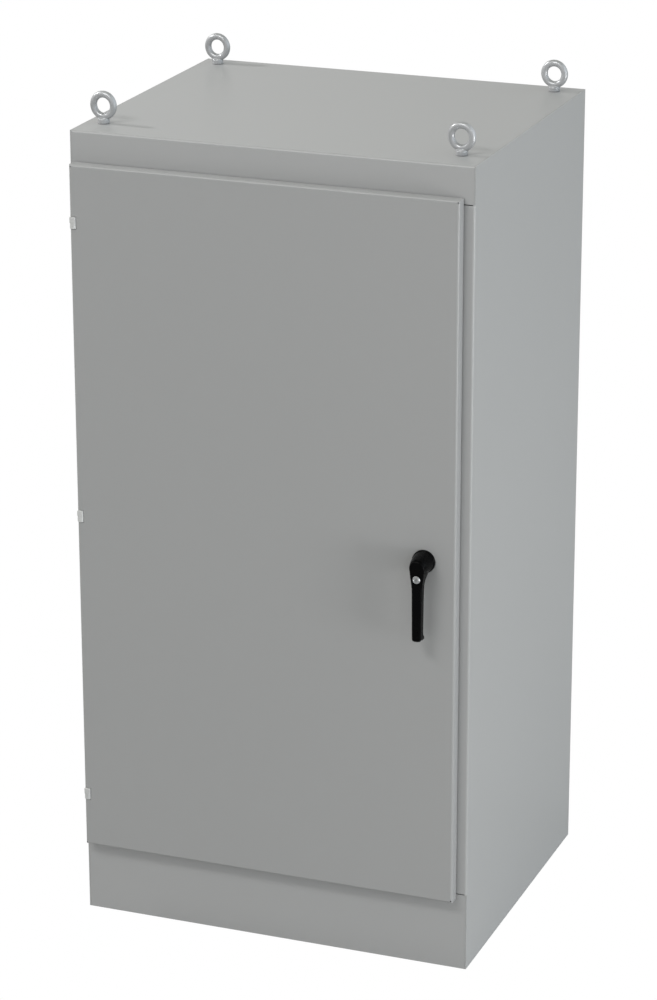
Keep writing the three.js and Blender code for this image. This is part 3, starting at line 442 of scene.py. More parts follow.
@dataclass(frozen=True)
class Finish:
    """A material named for what it is, with the record's slot that it belongs to."""

    name: str
    slot: Slot
    base: Colour

    def start(self) -> Surface:
        """Makes the material with its plain base colour.

        Returns:
            The surface to work on.
        """
        material = bpy.data.materials.new(self.name)
        material.use_nodes = True
        graph = Graph(material.node_tree)
        shader = material.node_tree.nodes["Principled BSDF"]
        shader.inputs["Base Color"].default_value = (*self.base, 1.0)
        material.diffuse_color = (*self.base, 1.0)
        return Surface(graph, shader)

    def dress(self, surface: Surface) -> None:
        """Adds what this finish has; a plain finish adds nothing."""

    def material(self) -> bpy.types.Material:
        """Builds the material on first use.

        Returns:
            The material.
        """
        made = bpy.data.materials.get(self.name)
        if made is None:
            self.dress(self.start())
            made = bpy.data.materials[self.name]
        return made


@dataclass(frozen=True)
class PowderPaint(Finish):
    """Baked powder paint on sheet steel."""

    gloss: float = 0.32
    ripple: float = 0.00010
    dust: float = 0.05

    def dress(self, surface: Surface) -> None:
        """Adds orange peel, soft patches, a little rubbing on the edges and dust on top.

        Args:
            surface: The material in the making.
        """
        graph, shader = surface.graph, surface.shader
        peel = ORANGE_PEEL.place(graph, Ripple_scale=150.0, Grain_scale=1100.0)
        patches = PATCHES.place(graph, Scale=1.1)
        worn = EDGE_WEAR.place(graph, Amount=0.10, Breakup_scale=70.0)
        dusty = DUST.place(graph, Amount=self.dust)
        darker = tuple(value * 0.992 for value in self.base)
        lighter = tuple(min(1.0, value * 1.008) for value in self.base)
        rubbed = tuple(min(1.0, value * 1.5 + 0.02) for value in self.base)
        film = tuple(value * 0.9 + 0.03 for value in self.base)
        colour = graph.mix(patches.outputs["Mask"], darker, lighter)
        colour = graph.mix(graph.maths("MULTIPLY", peel.outputs["Grain"], 0.5), colour, lighter)
        colour = graph.mix(worn.outputs["Mask"], colour, rubbed)
        surface.colour(graph.mix(dusty.outputs["Mask"], colour, film))
        smear = graph.maths("ADD", graph.maths("MULTIPLY", patches.outputs["Wide"], 0.6),
                            graph.maths("MULTIPLY", dusty.outputs["Mask"], 2.0), clamp=True)
        surface.roughness(self.gloss, self.gloss + 0.05, smear)
        surface.bump(peel.outputs["Height"], self.ripple)
        shader.inputs["Specular IOR Level"].default_value = 0.5


@dataclass(frozen=True)
class PlatedZinc(Finish):
    """Zinc plating: pale flakes, dull patches and rubbed edges."""

    flake_scale: float = 140.0
    rough: float = 0.34

    def dress(self, surface: Surface) -> None:
        """Adds flakes, dull patches and rubbed edges.

        Args:
            surface: The material in the making.
        """
        graph, shader = surface.graph, surface.shader
        flakes = SPANGLE.place(graph, Scale=self.flake_scale)
        patches = PATCHES.place(graph, Scale=12.0)
        worn = EDGE_WEAR.place(graph, Amount=0.5, Breakup_scale=260.0)
        dull = tuple(value * 0.80 for value in self.base)
        bright = tuple(min(1.0, value * 1.14) for value in self.base)
        colour = graph.mix(graph.maths("MULTIPLY", flakes.outputs["Flake"], 0.8), dull, bright)
        colour = graph.mix(graph.maths("MULTIPLY", patches.outputs["Mask"], 0.35), colour, dull)
        surface.colour(graph.mix(worn.outputs["Mask"], colour, bright))
        surface.roughness(self.rough, self.rough + 0.16, flakes.outputs["Flake"])
        surface.bump(flakes.outputs["Height"], 0.00006)
        shader.inputs["Metallic"].default_value = 1.0


@dataclass(frozen=True)
class SatinSteel(Finish):
    """Blasted and clear-lacquered steel: pale, with no sharp reflections."""

    rough: float = 0.46
    metal: float = 0.35

    def dress(self, surface: Surface) -> None:
        """Adds the blasted grain, soft patches and rubbed edges.

        Args:
            surface: The material in the making.
        """
        graph, shader = surface.graph, surface.shader
        grain = ORANGE_PEEL.place(graph, Ripple_scale=420.0, Grain_scale=1800.0)
        patches = PATCHES.place(graph, Scale=18.0)
        worn = EDGE_WEAR.place(graph, Amount=0.4, Breakup_scale=260.0)
        dull = tuple(value * 0.9 for value in self.base)
        bright = tuple(min(1.0, value * 1.12) for value in self.base)
        colour = graph.mix(patches.outputs["Mask"], dull, self.base)
        colour = graph.mix(graph.maths("MULTIPLY", grain.outputs["Grain"], 0.3), colour, bright)
        surface.colour(graph.mix(worn.outputs["Mask"], colour, bright))
        surface.roughness(self.rough, self.rough + 0.1, patches.outputs["Mask"])
        surface.bump(grain.outputs["Height"], 0.00005)
        shader.inputs["Metallic"].default_value = self.metal


@dataclass(frozen=True)
class TurnedMetal(Finish):
    """Bare metal with fine lines from the lathe, the mill or the roll."""

    rough: float = 0.25
    stretch: Point = (1.0, 1.0, 14.0)
    tarnish: Colour = (0.2, 0.2, 0.2)
    tarnished: float = 0.3

    def dress(self, surface: Surface) -> None:
        """Adds the lines and the tarnish between them.

        Args:
            surface: The material in the making.
        """
        graph, shader = surface.graph, surface.shader
        lines = BRUSHING.place(graph, Scale=260.0)
        lines.inputs["Stretch"].default_value = self.stretch
        patches = PATCHES.place(graph, Scale=24.0)
        worn = EDGE_WEAR.place(graph, Amount=0.6, Breakup_scale=300.0)
        bright = tuple(min(1.0, value * 1.2) for value in self.base)
        dulled = graph.maths("MULTIPLY", patches.outputs["Mask"], self.tarnished)
        colour = graph.mix(dulled, self.base, self.tarnish)
        colour = graph.mix(graph.maths("MULTIPLY", lines.outputs["Mask"], 0.3), colour, bright)
        surface.colour(graph.mix(worn.outputs["Mask"], colour, bright))
        surface.roughness(self.rough, self.rough + 0.2, patches.outputs["Mask"])
        surface.bump(lines.outputs["Lines"], 0.00004)
        shader.inputs["Metallic"].default_value = 1.0


@dataclass(frozen=True)
class Moulding(Finish):
    """Moulded plastic or thermoset, with mould grain and soft handling marks."""

    rough: float = 0.4
    grain: float = 0.00008
    grain_scale: float = 700.0
    coat: float = 0.0
    shine: float = 0.5
    soiled: float = 1.0

    def dress(self, surface: Surface) -> None:
        """Adds mould grain, soft patches and pale edges.

        Args:
            surface: The material in the making.
        """
        graph, shader = surface.graph, surface.shader
        peel = ORANGE_PEEL.place(graph, Ripple_scale=self.grain_scale * 0.25, Grain_scale=self.grain_scale)
        patches = PATCHES.place(graph, Scale=30.0)
        worn = EDGE_WEAR.place(graph, Amount=0.35 * self.soiled, Breakup_scale=220.0)
        dusty = DUST.place(graph, Amount=0.12 * self.soiled)
        pale = tuple(min(1.0, value * 1.35 + 0.012) for value in self.base)
        dark = tuple(value * 0.88 for value in self.base)
        film = tuple(value * 0.8 + 0.06 for value in self.base)
        colour = graph.mix(patches.outputs["Mask"], self.base, dark)
        colour = graph.mix(worn.outputs["Mask"], colour, pale)
        surface.colour(graph.mix(dusty.outputs["Mask"], colour, film))
        surface.roughness(self.rough, min(1.0, self.rough + 0.14), patches.outputs["Mask"])
        surface.bump(peel.outputs["Height"], self.grain)
        shader.inputs["Specular IOR Level"].default_value = self.shine
        if self.coat:
            shader.inputs["Coat Weight"].default_value = self.coat
            shader.inputs["Coat Roughness"].default_value = 0.08


@dataclass(frozen=True)
class WoundTape(Finish):
    """Varnished tape wound round a coil, one turn beside the next."""

    turns: float = 520.0

    def dress(self, surface: Surface) -> None:
        """Adds the edges of the turns and the varnish.

        Args:
            surface: The material in the making.
        """
        graph, shader = surface.graph, surface.shader
        place = graph.node("ShaderNodeTexCoord").outputs["Object"]
        turns = graph.node("ShaderNodeTexWave", wave_type="BANDS", bands_direction="Z", wave_profile="SAW")
        turns.inputs["Scale"].default_value = self.turns / 2
        turns.inputs["Distortion"].default_value = 0.4
        graph.link(place, turns.inputs["Vector"])
        patches = PATCHES.place(graph, Scale=40.0)
        dark = tuple(value * 0.6 for value in self.base)
        colour = graph.mix(turns.outputs["Fac"], dark, self.base)
        surface.colour(graph.mix(graph.maths("MULTIPLY", patches.outputs["Mask"], 0.4), colour, dark))
        surface.roughness(0.38, 0.6, patches.outputs["Mask"])
        surface.bump(turns.outputs["Fac"], 0.0004)
        shader.inputs["Coat Weight"].default_value = 0.3
        shader.inputs["Coat Roughness"].default_value = 0.25


CABINET_PAINT = PowderPaint("cabinet_powder_paint", Slot.GREY_PAINT, from_srgb(177, 177, 177))
# The door's paint is the cabinet's powder paint made a little darker: painted shade on the door, so it reads
# darker than the header and plinth.
DOOR_PAINT_WITH_PAINTED_SHADE = PowderPaint("door_powder_paint_painted_shade", Slot.GREY_PAINT, from_srgb(170, 170, 170))
PANEL_PAINT = PowderPaint("sub_panel_enamel", Slot.PANEL_PAINT, from_srgb(226, 226, 221), gloss=0.3)
ZINC = PlatedZinc("zinc_plate", Slot.ZINC, from_srgb(198, 200, 203))
FORGED_EYE = SatinSteel("forged_eye_zinc", Slot.ZINC, from_srgb(190, 191, 193), rough=0.30, metal=0.45)
HINGE_STEEL = SatinSteel("hinge_satin_steel", Slot.ZINC, from_srgb(215, 215, 214), metal=0.1)
KEY_CHROME = TurnedMetal("key_plug_nickel", Slot.ZINC, from_srgb(205, 206, 208), rough=0.2,
                         stretch=(12.0, 1.0, 12.0), tarnished=0.1)
LEVER_BLACK = Moulding("lever_gloss_black", Slot.BLACK_LEVER, from_srgb(4, 4, 5), rough=0.18, grain=0.00003,
                       shine=0.07, soiled=0.05)
GASKET = Moulding("gasket_foam_rubber", Slot.GASKET_RUBBER, from_srgb(34, 34, 35), rough=0.85, grain=0.0004,
                  grain_scale=1500.0)
BLACK_MOULDING = Moulding("black_thermoset", Slot.BLACK_MOULDING, from_srgb(33, 34, 36), rough=0.44)
BROWN_MOULDING = Moulding("brown_phenolic", Slot.BROWN_MOULDING, from_srgb(84, 50, 34), rough=0.36)
COPPER = TurnedMetal("rolled_copper", Slot.COPPER, from_srgb(214, 139, 104), rough=0.24,
                     stretch=(1.0, 12.0, 12.0), tarnish=from_srgb(128, 78, 58), tarnished=0.35)
SILVERED = TurnedMetal("silvered_contact", Slot.COPPER, from_srgb(214, 212, 205), rough=0.3, tarnished=0.3,
                       tarnish=from_srgb(140, 128, 110))
IRON = TurnedMetal("laminated_iron", Slot.IRON, from_srgb(122, 124, 128), rough=0.4, stretch=(1.0, 14.0, 1.0),
                   tarnish=from_srgb(70, 62, 56), tarnished=0.5)
COIL_TAPE = WoundTape("coil_varnished_tape", Slot.COIL_TAPE, from_srgb(196, 150, 62))
GREY_PLASTIC = Moulding("grey_plastic", Slot.GREY_PLASTIC, from_srgb(148, 151, 155), rough=0.46)
DUCT_PLASTIC = Moulding("duct_plastic", Slot.GREY_PLASTIC, from_srgb(168, 171, 173), rough=0.55)
SCREEN_GLASS = Moulding("display_window", Slot.BLACK_MOULDING, from_srgb(20, 34, 30), rough=0.08,
                        grain=0.0, coat=0.6)
RED_PLASTIC = Moulding("red_button", Slot.RED_PLASTIC, from_srgb(172, 28, 24), rough=0.3, coat=0.3)
GREEN_PLASTIC = Moulding("green_button", Slot.GREEN_PLASTIC, from_srgb(34, 122, 58), rough=0.3, coat=0.3)


# ---------------------------------------------------------------- workshop: mesh tools

def bevel_edges(mesh: bmesh.types.BMesh, edges: Iterable[bmesh.types.BMEdge], radius: float,
                steps: int = 2) -> None:
    """Rounds edges.

    Args:
        mesh: The mesh.
        edges: The edges to round.
        radius: How far the rounding reaches.
        steps: Faces across the rounding.
    """
    if radius > 0:
        bmesh.ops.bevel(mesh, geom=list(edges), offset=radius, segments=steps, profile=0.5,
                        affect="EDGES", clamp_overlap=True)


def sharp_edges(faces: Iterable[bmesh.types.BMFace], degrees: float = 30.0) -> list[bmesh.types.BMEdge]:
    """Finds the edges where faces meet at more than an angle.

    Args:
        faces: The faces to look at.
        degrees: The angle.

    Returns:
        The edges.
    """
    limit = math.radians(degrees)
    edges = {edge for face in faces for edge in face.edges}
    return [edge for edge in edges if len(edge.link_faces) == 2 and edge.calc_face_angle(0.0) > limit]


@dataclass
class Piece:
    """One separate piece of the model: a mesh that grows by the shapes added to it."""

    name: str
    finish: Finish
    body: str
    stands_for: tuple[str, ...] = ()
    mesh: bmesh.types.BMesh = field(default_factory=bmesh.new)

    def shape(self, points: Sequence[Vector], faces: Sequence[Sequence[int]], bevel: float = 0.0,
              steps: int = 2) -> "Piece":
        """Adds a closed shape.

        Args:
            points: Its corners.
            faces: Its faces as corner numbers.
            bevel: Rounding of its sharp edges.
            steps: Faces across the rounding.

        Returns:
            The piece itself.
        """
        part = bmesh.new()
        corners = [part.verts.new(point) for point in points]
        for face in faces:
            part.faces.new([corners[number] for number in face])
        bmesh.ops.recalc_face_normals(part, faces=part.faces[:])
        bevel_edges(part, sharp_edges(part.faces), bevel, steps)
        self.take(part)
        return self

    def take(self, part: bmesh.types.BMesh) -> None:
        """Moves another mesh's shape into this piece."""
        scratch = bpy.data.meshes.new("scratch")
        part.to_mesh(scratch)
        part.free()
        self.mesh.from_mesh(scratch)
        bpy.data.meshes.remove(scratch)

    def block(self, low: Sequence[float], high: Sequence[float], bevel: float = 0.0,
              steps: int = 2) -> "Piece":
        """Adds a block with rounded edges.

        Args:
            low: Its lowest corner.
            high: Its highest corner.
            bevel: Rounding of its edges.
            steps: Faces across the rounding.

        Returns:
            The piece itself.
        """
        (x0, y0, z0), (x1, y1, z1) = low, high
        points = [Vector((x, y, z)) for x in (x0, x1) for y in (y0, y1) for z in (z0, z1)]
        faces = [(0, 1, 3, 2), (4, 6, 7, 5), (0, 4, 5, 1), (2, 3, 7, 6), (0, 2, 6, 4), (1, 5, 7, 3)]
        return self.shape(points, faces, bevel, steps)

    def prism(self, outline: Sequence[tuple[float, float]], axis: Axis, span: tuple[float, float],
              bevel: float = 0.0, steps: int = 2) -> "Piece":
        """Adds an outline pushed along an axis.

        Args:
            outline: Its points, as (Y, Z) along X, (X, Z) along Y and (X, Y) along Z.
            axis: The axis it is pushed along.
            span: Where it starts and ends on that axis.
            bevel: Rounding of its sharp edges.
            steps: Faces across the rounding.

        Returns:
            The piece itself.
        """
        place = {
            Axis.X: lambda u, v, w: Vector((w, u, v)),
            Axis.Y: lambda u, v, w: Vector((u, w, v)),
            Axis.Z: lambda u, v, w: Vector((u, v, w)),
        }[axis]
        count = len(outline)
        points = [place(u, v, w) for w in span for u, v in outline]
        faces = [tuple(range(count)), tuple(range(count, 2 * count))]
        faces += [(i, (i + 1) % count, count + (i + 1) % count, count + i) for i in range(count)]
        return self.shape(points, faces, bevel, steps)

    def turned(self, profile: Sequence[tuple[float, float]], foot: Sequence[float], axis: Axis,
               sides: int = 48) -> "Piece":
        """Adds a turned shape.

        Args:
            profile: (radius, distance along the axis) from one end to the other.
            foot: Where distance 0 is.
            axis: The direction of the distances.
            sides: Faces round it.

        Returns:
            The piece itself.
        """
        along = axis.vector
        across = along.orthogonal().normalized()
        other = along.cross(across)
        start = Vector(foot)
        part = bmesh.new()
        rings: list[list[bmesh.types.BMVert]] = []
        for radius, distance in profile:
            centre = start + along * distance
            if radius <= 0:
                rings.append([part.verts.new(centre)])
                continue
            rings.append([
                part.verts.new(centre + (across * math.cos(turn) + other * math.sin(turn)) * radius)
                for turn in (2 * math.pi * i / sides for i in range(sides))
            ])
        for first, second in zip(rings, rings[1:]):
            for i in range(sides):
                j = (i + 1) % sides
                corners = [first[i % len(first)], first[j % len(first)], second[j % len(second)],
                           second[i % len(second)]]
                unique = list(dict.fromkeys(corners))
                if len(unique) > 2:
                    part.faces.new(unique)
        for ring in (rings[0], rings[-1]):
            if len(ring) > 1:
                part.faces.new(ring)
        bmesh.ops.recalc_face_normals(part, faces=part.faces[:])
        self.take(part)
        return self

    def swept(self, path: Sequence[Vector], radius: float, sides: int = 16, closed: bool = False) -> "Piece":
        """Adds a round bar that follows a path.

        Args:
            path: Its centre line.
            radius: Its radius.
            sides: Faces round it.
            closed: Whether the end joins the start.

        Returns:
            The piece itself.
        """
        part = bmesh.new()
        count = len(path)
        rings = []
        across = None
        for i, point in enumerate(path):
            before = path[(i - 1) % count] if closed or i else path[i]
            after = path[(i + 1) % count] if closed or i < count - 1 else path[i]
            along = (after - before).normalized()
            across = along.orthogonal().normalized() if across is None else (
                across - along * across.dot(along)).normalized()
            other = along.cross(across)
            rings.append([
                part.verts.new(point + (across * math.cos(turn) + other * math.sin(turn)) * radius)
                for turn in (2 * math.pi * k / sides for k in range(sides))
            ])
        pairs = list(zip(rings, rings[1:])) + ([(rings[-1], rings[0])] if closed else [])
        for first, second in pairs:
            for k in range(sides):
                part.faces.new((first[k], first[(k + 1) % sides], second[(k + 1) % sides], second[k]))
        if not closed:
            part.faces.new(rings[0])
            part.faces.new(rings[-1])
        bmesh.ops.recalc_face_normals(part, faces=part.faces[:])
        self.take(part)
        return self

    def hexagon(self, foot: Sequence[float], axis: Axis, flats: float, height: float) -> "Piece":
        """Adds a nut or bolt head with chamfered corners.

        Args:
            foot: The middle of its seat.
            axis: The way it stands.
            flats: Distance across its flats.
            height: Its height.

        Returns:
            The piece itself.
        """
        corner, seat = flats / math.sqrt(3), Vector(foot)
        profile = [(corner * 0.86, 0.0), (corner, height * 0.12), (corner, height * 0.82),
                   (corner * 0.84, height)]
        return self.turned(profile, seat, axis, sides=6)

    def pan_screw(self, seat: Sequence[float], axis: Axis, radius: float) -> "Piece":
        """Adds a domed screw head with a cross recess.

        Args:
            seat: The middle of its seat.
            axis: The way it stands.
            radius: Its head's radius.

        Returns:
            The piece itself.
        """
        high = radius * 0.62
        dome = [(radius * share, high * rise) for share, rise in
                ((1.0, 0.0), (1.0, 0.3), (0.94, 0.62), (0.78, 0.86), (0.55, 0.97))]
        recess = [(0.42 * radius, high * 0.98), (0.3 * radius, high * 0.55), (0.12 * radius, high * 0.4)]
        return self.turned([*dome, *recess], seat, axis, sides=24)

    def publish(self, smooth_degrees: float = 32.0) -> bpy.types.Object:
        """Turns the mesh into an object that rides on its body.

        Args:
            smooth_degrees: Faces that meet at less than this are shaded smooth.

        Returns:
            The object.
        """
        data = bpy.data.meshes.new(self.name)
        limit = math.radians(smooth_degrees)
        bmesh.ops.remove_doubles(self.mesh, verts=self.mesh.verts[:], dist=1e-7)
        for face in self.mesh.faces:
            face.smooth = True
        for edge in self.mesh.edges:
            edge.smooth = len(edge.link_faces) == 2 and edge.calc_face_angle(math.pi) < limit
        self.mesh.to_mesh(data)
        self.mesh.free()
        made = bpy.data.objects.new(self.name, data)
        bpy.context.scene.collection.objects.link(made)
        flats = made.modifiers.new("flats", "WEIGHTED_NORMAL")
        flats.keep_sharp = True
        data.materials.append(self.finish.material())
        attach(made, self.body)
        if self.stands_for:
            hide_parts(*self.stands_for)
        log.info("%s rides on %s", self.name, self.body)
        return made


def dress_node(name: str, finish: Finish, bevel: float = 0.0004, steps: int = 2) -> None:
    """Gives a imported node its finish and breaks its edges.

    Args:
        name: The node.
        finish: Its finish.
        bevel: Rounding of its edges, 0 for none.
        steps: Faces across the rounding.
    """
    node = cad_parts[name]
    for number in range(len(node.material_slots)):
        node.material_slots[number].material = finish.material()
    if not bevel:
        return
    weld = node.modifiers.new("weld", "WELD")
    weld.merge_threshold = 1e-6
    rounding = node.modifiers.new("edges", "BEVEL")
    rounding.width = bevel
    rounding.segments = steps
    rounding.limit_method = "ANGLE"
    rounding.angle_limit = math.radians(40)
    rounding.use_clamp_overlap = True
    rounding.harden_normals = False
    shading = node.modifiers.new("shading", "WEIGHTED_NORMAL")
    shading.keep_sharp = False
    log.info("%s dressed in %s", name, finish.name)


def low_high(node: str) -> tuple[Vector, Vector]:
    """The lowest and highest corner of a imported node."""
    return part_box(node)


def middle(node: str) -> Vector:
    """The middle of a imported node's box."""
    low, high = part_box(node)
    return (low + high) / 2


def arc_points(before: Vector, corner: Vector, after: Vector, radius: float, steps: int) -> list[Vector]:
    """Rounds one corner of a flat line.

    Args:
        before: The point before the corner.
        corner: The corner.
        after: The point after it.
        radius: The rounding.
        steps: Stretches across it.

    Returns:
        The points that replace the corner.
    """
    into, out = (corner - before).normalized(), (after - corner).normalized()
    turn = math.atan2(into.x * out.y - into.y * out.x, into.dot(out))
    start = corner - into * radius * math.tan(abs(turn) / 2)
    centre = start + Vector((-into.y, into.x)) * math.copysign(radius, turn)
    points = []
    for i in range(steps + 1):
        spoke = start - centre
        angle = turn * i / steps
        points.append(centre + Vector((spoke.x * math.cos(angle) - spoke.y * math.sin(angle),
                                       spoke.x * math.sin(angle) + spoke.y * math.cos(angle))))
    return points


def folded_section(corners: Sequence[tuple[float, float]], thickness: float, radius: float,
                   steps: int = 8) -> list[tuple[float, float]]:
    """The section of a folded sheet with the metal on the left of its face line.

    Args:
        corners: The face line's corners.
        thickness: Sheet thickness.
        radius: Outer radius of each bend.
        steps: Stretches across a bend.

    Returns:
        The closed outline.
    """
    line = [Vector(corner) for corner in corners]
    last = len(line) - 1

    def left(a: Vector, b: Vector) -> Vector:
        """The direction to the left of a stretch."""
        return Vector((a.y - b.y, b.x - a.x)).normalized()

    inner = []
    for i, point in enumerate(line):
        first = left(line[max(i - 1, 0)], line[max(i, 1)])
        second = left(line[min(i, last - 1)], line[min(i + 1, last)])
        inner.append(point + (first + second) / (1 + first.dot(second)) * thickness)

    def rounded(points: list[Vector], left_radius: float, right_radius: float) -> list[Vector]:
        """The line with its inner corners rounded."""
        result = [points[0]]
        for a, b, c in zip(points, points[1:], points[2:]):
            turns_left = (b - a).x * (c - b).y - (b - a).y * (c - b).x > 0
            result += arc_points(a, b, c, left_radius if turns_left else right_radius, steps)
        return [*result, points[-1]]

    face = rounded(line, radius, radius - thickness)
    back = rounded(inner, radius - thickness, radius)
    return [tuple(point) for point in [*face, *reversed(back)]]


# ---------------------------------------------------------------- cabinet shell

@dataclass
class SideSheet:
    """One side of the cabinet: a flat web, a flange round the door opening and a collar for the gasket."""

    hand: str
    side: int
    sheet: float = 2.7 * MM
    bend: float = 5.0 * MM
    flange: float = 60.0 * MM
    header: float = 82.0 * MM
    sill: float = 180.0 * MM
    seam: float = 2.2 * MM
    collar: float = 14.0 * MM
    web_start: float = 15.0 * MM
    flat_past_bend: float = 0.2 * MM

    def build(self) -> bpy.types.Object:
        """Builds the sheet.

        Returns:
            The object.
        """
        node = f"{self.hand}_side_panel"
        low, high = low_high(node)
        front, back, height = low.y + self.collar, high.y, high.z
        outside = self.side * max(abs(low.x), abs(high.x))
        inside = outside - self.side * self.sheet
        web = front + self.web_start
        piece = Piece(f"side_sheet_{self.hand}", CABINET_PAINT, "cabinet", (node,))
        outline = [
            (back, 0.0), (back, height), (front, height), (front, height - self.header),
            (web, height - self.header), (web, self.sill), (front, self.sill), (front, 0.0),
        ]
        piece.prism(outline, Axis.X, tuple(sorted((inside, outside))))
        corner, flange_end = (outside, front), (outside - self.side * self.flange, front)
        split = (outside - self.side * (self.bend + self.flat_past_bend), front)
        bent = [split, corner, (outside, web)]
        face = [(flange_end[0], front - self.collar), flange_end, split]
        for line, top, bottom in (
            (bent, height - self.header, self.sill),
            (face, height - self.header - self.seam, self.sill + self.seam),
        ):
            section = folded_section(line if self.side > 0 else line[::-1], self.sheet, self.bend)
            piece.prism(section, Axis.Z, (bottom, top))
        return piece.publish()


@dataclass
class FrontSheet:
    """Top or plinth: a sheet folded down or up in front, with a tongue between the side flanges."""

    node: str
    name: str
    sheet: float = 2.7 * MM
    bend: float = 5.0 * MM
    collar: float = 14.0 * MM
    clearance: float = 0.3 * MM
    header: float = 82.0 * MM
    sill: float = 180.0 * MM

    def tongue(self) -> float:
        """Half the width of the tongue."""
        side = low_high("right_side_panel")[0].x
        return side - self.clearance

    def build_top(self) -> bpy.types.Object:
        """Builds the top with its header.

        Returns:
            The object.
        """
        low, high = low_high(self.node)
        front = low.y + self.collar
        seam = high.z - self.header
        lip = low.z + self.sheet
        piece = Piece(self.name, CABINET_PAINT, "cabinet", (self.node,))
        width = (low.x, high.x)
        upper = folded_section([(high.y, high.z), (front, high.z), (front, seam)], self.sheet, self.bend, 12)
        lower = folded_section([(front, seam), (front, lip), (low.y, lip)], self.sheet, self.bend)
        piece.prism(upper, Axis.X, width)
        piece.prism(lower, Axis.X, (-self.tongue(), self.tongue()))
        return piece.publish()

    def build_plinth(self) -> bpy.types.Object:
        """Builds the sheet under the door.

        Returns:
            The object.
        """
        low, high = low_high(self.node)
        front = low.y + self.collar
        lip = high.z - self.sheet
        piece = Piece(self.name, CABINET_PAINT, "cabinet", (self.node,))
        width = (low.x, high.x)
        upper = folded_section([(low.y, lip), (front, lip), (front, self.sill)], self.sheet, self.bend)
        piece.prism(upper, Axis.X, (-self.tongue(), self.tongue()))
        piece.block((width[0], front, 0.0), (width[1], front + self.sheet, self.sill))
        return piece.publish()


@dataclass
class LiftingEye:
    """Forged eye bolt: a ring that grows out of a collar."""

    place: str
    ring: float = 24.25 * MM
    wire: float = 6.75 * MM
    turn: float = -math.pi / 40
    collar: float = 13.0 * MM
    collar_height: float = 11.5 * MM
    voxel: float = 1.0 * MM
    swell: float = 0.8 * MM
    shank: float = 6.0 * MM
    nut_flats: float = 19.0 * MM
    nut_height: float = 10.0 * MM
    steps: int = 72

    def build(self) -> bpy.types.Object:
        """Builds the eye.

        Returns:
            The object.
        """
        node = f"lifting_eye_{self.place}"
        low, high = low_high(node)
        centre_x, centre_y = (low.x + high.x) / 2, (low.y + high.y) / 2
        seat = low_high("top_panel")[1].z + 0.3 * MM
        centre = Vector((centre_x, centre_y, high.z - self.ring - self.wire))
        plane = Vector((math.cos(self.turn), math.sin(self.turn), 0.0))
        form = Piece("forging", FORGED_EYE, "cabinet")
        path = [centre + (plane * math.cos(turn) + Axis.Z.vector * math.sin(turn)) * self.ring
                for turn in (2 * math.pi * i / self.steps for i in range(self.steps))]
        form.swept(path, self.wire + self.swell, 24, closed=True)
        top = self.collar_height
        form.turned([
            (0, 0), (self.collar - 0.6 * MM, 0), (self.collar, 0.6 * MM), (self.collar, top - 2.4 * MM),
            (self.collar - 0.7 * MM, top - 0.8 * MM), (self.collar - 2.4 * MM, top), (0, top),
        ], (centre_x, centre_y, seat), Axis.Z)
        piece = Piece(f"eye_bolt_{self.place}", FORGED_EYE, "cabinet", (node,))
        piece.mesh = self.forged(form.mesh)
        piece.turned([
            (0, 0), (self.shank - 1 * MM, 0), (self.shank, 1 * MM), (self.shank, seat - low.z),
        ], (centre_x, centre_y, low.z), Axis.Z, 24)
        nut_top = low_high("lifting_rail_left")[0].z - 0.3 * MM
        piece.hexagon((centre_x, centre_y, nut_top), Axis.DOWN, self.nut_flats, self.nut_height)
        return piece.publish(60)

    def forged(self, mesh: bmesh.types.BMesh) -> bmesh.types.BMesh:
        """Melts the shapes of a mesh together, as a forging is.

        Args:
            mesh: The separate shapes.

        Returns:
            The one smooth form.
        """
        data = bpy.data.meshes.new("forging")
        mesh.to_mesh(data)
        mesh.free()
        form = bpy.data.objects.new("forging", data)
        bpy.context.scene.collection.objects.link(form)
        melt = form.modifiers.new("melt", "REMESH")
        melt.mode, melt.voxel_size = "VOXEL", self.voxel
        ease = form.modifiers.new("ease", "SMOOTH")
        ease.factor, ease.iterations = 0.5, 5
        made = bmesh.new()
        made.from_object(form, bpy.context.evaluated_depsgraph_get())
        bpy.data.objects.remove(form)
        bpy.data.meshes.remove(data)
        return made


